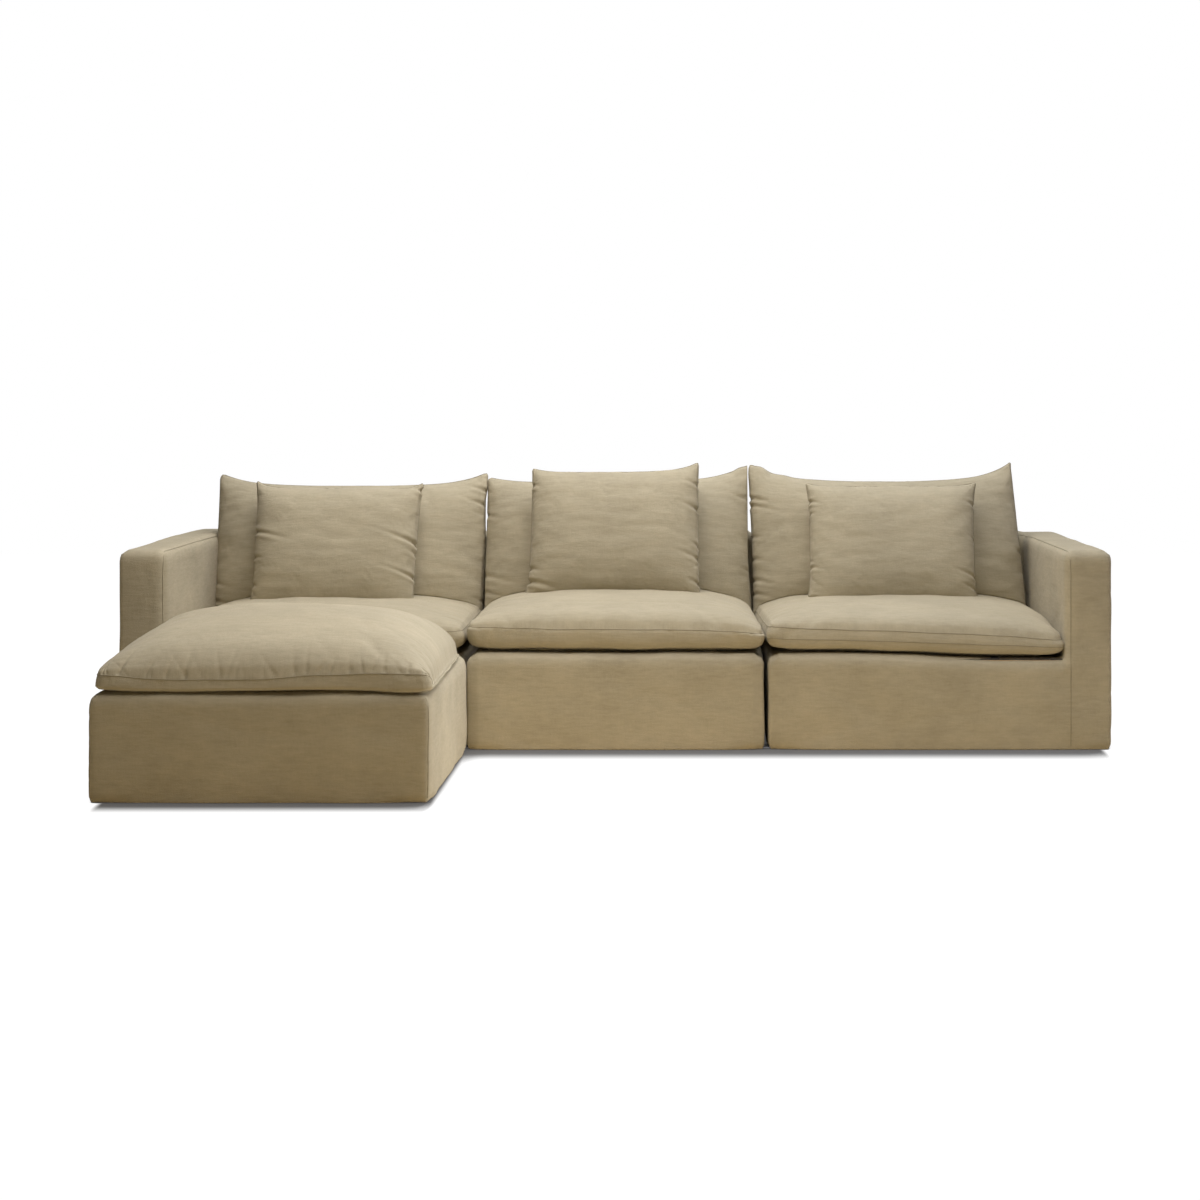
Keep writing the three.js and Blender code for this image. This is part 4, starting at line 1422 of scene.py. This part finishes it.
def shifted(limit, *shifts):
    """A side limit as (height, x) pairs, from its shifts at some heights."""
    return [(height, limit + shift) for height, shift in shifts]


# The cushions touch at the top. Below, the left and the centre one stand a little apart, and the right and
# the centre one, which meet left of their units' joint, some more.
first_joint, second_joint = neighbour_edges
right_limits[0] = shifted(
    first_joint, (0.60, -0.003), (0.66, -0.003), (0.69, -0.006), (0.76, -0.006), (0.80, 0.0010)
)
left_limits[1] = shifted(first_joint, (0.70, 0.003), (0.80, 0.0022))
right_limits[1] = shifted(second_joint, (0.41, -0.004), (0.47, -0.010), (0.55, -0.016), (0.88, -0.017))
lean_shifts = ((0.41, 0.004), (0.47, 0.002), (0.62, -0.001), (0.74, -0.009), (0.79, -0.0155), (0.88, -0.0155))
left_limits[2] = shifted(second_joint, *lean_shifts)
usual_back = {
    "drawn": (0.004, 0.105),
    "sag": 0.12,
    "tip": 0.030,
    "ear_power": 6,
    "ear_edge": 8,
    "bumps": [],
    "belly": 3.0,
    "gather": 0.06,
    "folds": 0.20,
    "extra_fine": False,
    "puckers": (0.030, 0.0055, 0.024, 0.0036),
}
backs = {}
for order, (unit, look) in enumerate(back_looks.items()):
    left = back_spans[order][0] - look["wider"][0]
    right = back_spans[order][1] + look["wider"][1]
    middle = (
        (left + right) / 2,
        unit_back - back_size[1] / 2 + 0.013,
        seat_top + (back_size[0] / 2 - back_pressed) * math.cos(math.radians(back_lean)) - look["sink"],
    )
    backs[unit] = pillow(
        f"{unit}_back_linen",
        f"{unit}_back",
        f"{unit}_back_cushion",
        (right - left, *back_size),
        back_lean,
        middle,
        {**usual_back, **look},
        [above(seats[unit], cloth_gap), off_the_back, between(left_limits[order], right_limits[order])],
        500 + 20 * order,
    )

# Throw cushions
# Three smaller knife-edged cushions of the same linen, softer than the back cushions that they lean on.
throw_size = (0.585, 0.467, 0.190)
throw_pressed = 0.025
throw_lean = 17
throw_forward = 0.293
throw_looks = {
    "left": {
        "sink": 0.022,
        "pressed_in": 0.008,
        "drawn": (0.036, 0.12),
        "ears": {(1, 1): (0.0, -0.008), (1, -1): (-0.018, 0.0)},
        "lobes": [(-1, 0.008)],
        "dents": [
            (-1, 0.20, 0.085, 0.0075, 0.0072), (-1, -0.18, 0.035, 0.0070, 0.0066),
            (-1, -0.60, 0.030, 0.0070, 0.0036), (1, 0.82, 0.040, 0.0070, 0.0042),
            (1, -0.02, 0.090, 0.0075, 0.0072), (1, -0.17, 0.035, 0.0070, 0.0048),
            (1, -0.53, 0.080, 0.0070, 0.006),
        ],
    },
    "centre": {
        "sink": 0.005,
        "pressed_in": 0.002,
        "drawn": (0.012, 0.06),
        "ears": {(1, 1): (-0.004, 0.022), (-1, -1): (-0.006, 0.0)},
        "lobes": [(-1, 0.020)],
        "dents": [
            (-1, 0.72, 0.025, 0.0070, 0.0036), (-1, -0.55, 0.030, 0.0070, 0.0042),
            (-1, -0.74, 0.070, 0.0080, 0.0072), (1, 0.70, 0.050, 0.0075, 0.0036),
            (1, 0.33, 0.045, 0.0075, 0.0054), (1, -0.22, 0.025, 0.0070, 0.0036),
            (1, -0.42, 0.055, 0.0075, 0.0042), (1, -0.78, 0.030, 0.0070, 0.0048),
        ],
    },
    "right": {
        "sink": 0.039,
        "pressed_in": 0.020,
        "drawn": (0.045, 0.05),
        "ears": {
            (-1, 1): (-0.006, 0.0), (1, 1): (0.006, 0.004), (-1, -1): (-0.010, 0.0), (1, -1): (0.002, 0.0)
        },
        "lobes": [(-1, 0.018), (1, 0.010)],
        "dents": [
            (-1, 0.70, 0.030, 0.0065, 0.0050), (-1, 0.52, 0.020, 0.0060, 0.0035),
            (-1, -0.30, 0.035, 0.0060, 0.0040), (-1, -0.76, 0.050, 0.0070, 0.0060),
            (1, 0.62, 0.035, 0.0065, 0.0045), (1, 0.10, 0.025, 0.0060, 0.0035),
            (1, -0.48, 0.060, 0.0065, 0.0050), (1, -0.66, 0.045, 0.0060, 0.0045),
        ],
    },
}
usual_throw = {
    "drawn": (0.020, 0.05),
    "sag": 0.10,
    "tip": 0.012,
    "ear_power": 6,
    "ear_edge": 8,
    "bumps": [],
    "belly": 2.2,
    "gather": 0.07,
    "folds": 0.15,
    "extra_fine": True,
    "puckers": (0.034, 0.005, 0.020, 0.0040),
}
for order, (unit, look) in enumerate(throw_looks.items()):
    low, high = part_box(f"{unit}_throw_cushion")
    middle = (
        (low[0] + high[0]) / 2,
        unit_back - throw_forward,
        seat_top
        + seat_looks[unit]["crown"]
        + (throw_size[1] / 2 - throw_pressed) * math.cos(math.radians(throw_lean))
        - look["sink"],
    )
    pillow(
        f"{unit}_throw_linen",
        f"{unit}_throw",
        f"{unit}_throw_cushion",
        throw_size,
        throw_lean,
        middle,
        {**usual_throw, **look},
        [above(seats[unit], cloth_gap - look["pressed_in"]), before(backs[unit], 0.0015)],
        700 + 20 * order,
    )

# Timber frames
# Softwood boards, planed and left bare, screwed and stapled together under the covers. The grain runs along
# each board, with fine fibres from the saw over it.
BARE_LOOKS = {"Colour": "Color", "Matt": "Float", "Height": "Float"}


def timber_group():
    inputs = {"Place": "Vector", "Facing": "Vector", "Pale": "Color", "Dark": "Color"}
    tree, given, out = group_tree("sawn softwood", inputs, BARE_LOOKS)
    facing = node(tree, "ShaderNodeSeparateXYZ", {0: given["Facing"]}).outputs[0]
    sideways = calc(tree, "GREATER_THAN", calc(tree, "ABSOLUTE", facing), 0.5)
    x, y, z = node(tree, "ShaderNodeSeparateXYZ", {0: given["Place"]}).outputs
    along = node(tree, "ShaderNodeMix", {0: sideways, 2: x, 3: y}, data_type="FLOAT").outputs[0]
    across = node(tree, "ShaderNodeMix", {0: sideways, 2: y, 3: x}, data_type="FLOAT").outputs[0]
    board = node(tree, "ShaderNodeCombineXYZ", {0: along, 1: across, 2: z}).outputs[0]
    rings = noise(tree, stretched(tree, board, (1.3, 26, 26)), 1.0, 3.0, 0.6)
    fibres = noise(tree, stretched(tree, board, (9, 420, 420)), 1.0, 3.0, 0.6)
    bands = calc(tree, "SINE", calc(tree, "MULTIPLY", rings, 46.0))
    share = calc(tree, "ADD", mapped(tree, bands, -1.0, 1.0, 0.0, 0.75), sum_of(tree, (fibres, 0.9)))
    put_out(
        tree,
        out,
        Colour=mixed(tree, share, given["Pale"], given["Dark"]),
        Matt=calc(tree, "MULTIPLY_ADD", fibres, 0.25, 0.55),
        Height=sum_of(tree, (fibres, 0.25), (rings, 0.1)),
    )
    return tree
def bare_material(name, group, colours, relief, **skin_values):
    """A material whose looks all come out of one shader group."""
    made, tree = material(name)
    place = node(tree, "ShaderNodeTexCoord").outputs
    sockets = {"Place": place["Object"], **{label: (*colour, 1) for label, colour in colours.items()}}
    if "Facing" in [item.name for item in group.interface.items_tree]:
        sockets["Facing"] = place["Normal"]
    looks = node(tree, "ShaderNodeGroup", sockets, node_tree=group).outputs
    finished(tree, looks, "Colour", looks["Height"], 0.8, relief, skin_values)
    return made


def dressed(made, *names):
    """Gives CAD nodes a finish. Their shape stays as it is."""
    for name in names:
        mesh = frame["nodes"][name].data
        mesh.materials.clear()
        mesh.materials.append(made)


units = ("left", "centre", "right")
softwood = {"Pale": (0.62, 0.44, 0.25), "Dark": (0.42, 0.25, 0.12)}
timber = bare_material("bare softwood", timber_group(), softwood, 0.0004)
dressed(
    timber,
    "chaise_base_frame",
    "left_arm_frame",
    "right_arm_frame",
    *(f"{unit}_{part}" for unit in units for part in ("base_frame", "back_frame")),
)

# Webbing
# Dark elastic webbing, 60 mm wide, pulled tight across each base frame and woven over and under, five straps
# each way.
def web_tree():
    tree, given, path, keys = path_tree("flat straps", {"Width": 0.060, "Thickness": 0.0018})
    level = node(tree, "GeometryNodeSetCurveNormal", {"Curve": path}, mode="Z_UP").outputs[0]
    sockets = {"Width": given["Width"], "Height": given["Thickness"]}
    strip = node(tree, "GeometryNodeCurvePrimitiveQuadrilateral", sockets).outputs[0]
    sweep(tree, given, level, strip, False)
    return tree, keys


def strap_group():
    tree, given, out = group_tree("strap weave", {"Place": "Vector", "Colour": "Color"}, BARE_LOOKS)
    parts = node(tree, "ShaderNodeSeparateXYZ", {0: given["Place"]}).outputs
    waves = [calc(tree, "SINE", calc(tree, "MULTIPLY", parts[axis], 1250.0)) for axis in (0, 1)]
    weave = calc(tree, "MULTIPLY", *waves)
    lint = noise(tree, given["Place"], 60.0, 4.0, 0.65)
    tone = calc(tree, "ADD", calc(tree, "MULTIPLY_ADD", weave, 0.12, 1.0), sum_of(tree, (lint, 0.5)))
    matt = calc(tree, "MULTIPLY_ADD", lint, 0.2, 0.7)
    put_out(tree, out, Colour=toned(tree, given["Colour"], tone), Matt=matt, Height=weave)
    return tree


web_material = bare_material("dark webbing", strap_group(), {"Colour": (0.055, 0.048, 0.042)}, 0.0002)
WEB_TREE = web_tree()
strap_width = 0.060
strap_count = 5
strap_thick = 0.0018
strap_rise = 0.0010
for unit, body in (*((unit, "modules") for unit in units), ("chaise", "chaise")):
    low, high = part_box(f"{unit}_webbing")
    pitch = [(high[axis] - low[axis] - strap_width) / (strap_count - 1) for axis in (0, 1)]
    lines = []
    for axis in (0, 1):
        other = 1 - axis
        at = np.linspace(low[axis] + 0.001, high[axis] - 0.001, 60)
        first = low[axis] + strap_width / 2
        for strap in range(strap_count):
            turn = -1 if (strap + axis) % 2 else 1
            line = np.empty((len(at), 3))
            line[:, axis] = at
            line[:, other] = low[other] + strap_width / 2 + strap * pitch[other]
            wave = np.cos(math.pi * (at - first) / pitch[axis])
            line[:, 2] = (low[2] + high[2]) / 2 + strap_rise * turn * wave
            lines.append((line, False))
    straps = path_object(f"{unit}_straps", lines)
    grown(straps, *WEB_TREE, Width=strap_width, Thickness=strap_thick, Material=web_material)
    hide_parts(f"{unit}_webbing")
    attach(straps, body)
# Feet
# Black moulded polypropylene glides with a fine mould grain, scuffed grey round the rim from being pushed
# about.
def moulded_group():
    inputs = {"Place": "Vector", "Colour": "Color", "Worn": "Color"}
    tree, given, out = group_tree("moulded plastic", inputs, BARE_LOOKS)
    grain = noise(tree, given["Place"], 1400.0, 2.0, 0.6)
    rubbed = noise(tree, given["Place"], 70.0, 4.0, 0.7)
    height = node(tree, "ShaderNodeSeparateXYZ", {0: given["Place"]}).outputs[2]
    low_down = mapped(tree, height, 0.0, 0.012, 0.8, 0.0)
    scuffs = calc(tree, "MULTIPLY", mapped(tree, rubbed, 0.45, 0.7), low_down)
    colour = mixed(tree, scuffs, given["Colour"], given["Worn"])
    put_out(tree, out, Colour=colour, Matt=calc(tree, "MULTIPLY_ADD", scuffs, 0.35, 0.42), Height=grain)
    return tree


black_plastic = {"Colour": (0.016, 0.016, 0.017), "Worn": (0.12, 0.115, 0.11)}
plastic = bare_material("moulded plastic", moulded_group(), black_plastic, 0.0001)
dressed(plastic, *(f"{unit}_foot_{order}" for unit in (*units, "chaise") for order in (1, 2, 3, 4)))

# Link plates
# Zinc-plated steel strip, stamped with two holes and dropped over neighbouring feet. Bright, with a faint
# spangle.
def zinc_group():
    inputs = {"Place": "Vector", "Bright": "Color", "Dull": "Color"}
    tree, given, out = group_tree("zinc plating", inputs, BARE_LOOKS)
    spangle = node(tree, "ShaderNodeTexVoronoi", {"Vector": given["Place"], "Scale": 240.0}).outputs["Color"]
    facets = node(tree, "ShaderNodeSeparateXYZ", {0: spangle}).outputs[0]
    film = noise(tree, given["Place"], 35.0, 4.0, 0.6)
    share = calc(tree, "SUBTRACT", calc(tree, "MULTIPLY_ADD", facets, 0.35, film), 0.2)
    colour = mixed(tree, share, given["Bright"], given["Dull"])
    put_out(tree, out, Colour=colour, Matt=calc(tree, "MULTIPLY_ADD", film, 0.4, 0.16), Height=facets)
    return tree


zinc = {"Bright": (0.72, 0.73, 0.74), "Dull": (0.50, 0.51, 0.53)}
steel = bare_material("zinc-plated steel", zinc_group(), zinc, 0.00002, Metallic=1.0)
dressed(steel, *(f"link_plate_{order}" for order in (1, 2, 3, 4)))

# Foam cores and feather inserts
# Cream open-cell foam in the seats, and white cotton ticking round the feathers in the back and throw
# cushions. They stay inside their covers in every pose.
def foam_group():
    inputs = {"Place": "Vector", "Colour": "Color", "Aged": "Color"}
    tree, given, out = group_tree("open-cell foam", inputs, BARE_LOOKS)
    cells = node(tree, "ShaderNodeTexVoronoi", {"Vector": given["Place"], "Scale": 900.0}).outputs["Distance"]
    aged = noise(tree, given["Place"], 3.0, 3.0, 0.5)
    colour = mixed(tree, aged, given["Colour"], given["Aged"])
    put_out(tree, out, Colour=colour, Matt=calc(tree, "MULTIPLY_ADD", cells, 0.1, 0.88), Height=cells)
    return tree


cream_foam = {"Colour": (0.80, 0.72, 0.50), "Aged": (0.72, 0.60, 0.36)}
foam = bare_material("cream foam", foam_group(), cream_foam, 0.0004)
dressed(foam, "chaise_core", *(f"{unit}_seat_core" for unit in units))
ticking = bare_material("white ticking", strap_group(), {"Colour": (0.72, 0.71, 0.68)}, 0.0001)
dressed(ticking, *(f"{unit}_{part}_insert" for unit in units for part in ("back", "throw")))

# Low lamp's reach
# The low lamp is shaded off from the row, and lights only the ottoman and the floor.
low_lamp_reach = bpy.data.collections.new("low_lamp_reach")
for obj in scene.objects:
    if obj == floor or obj.name.startswith("chaise_"):
        low_lamp_reach.objects.link(obj)
low_lamp.light_linking.receiver_collection = low_lamp_reach
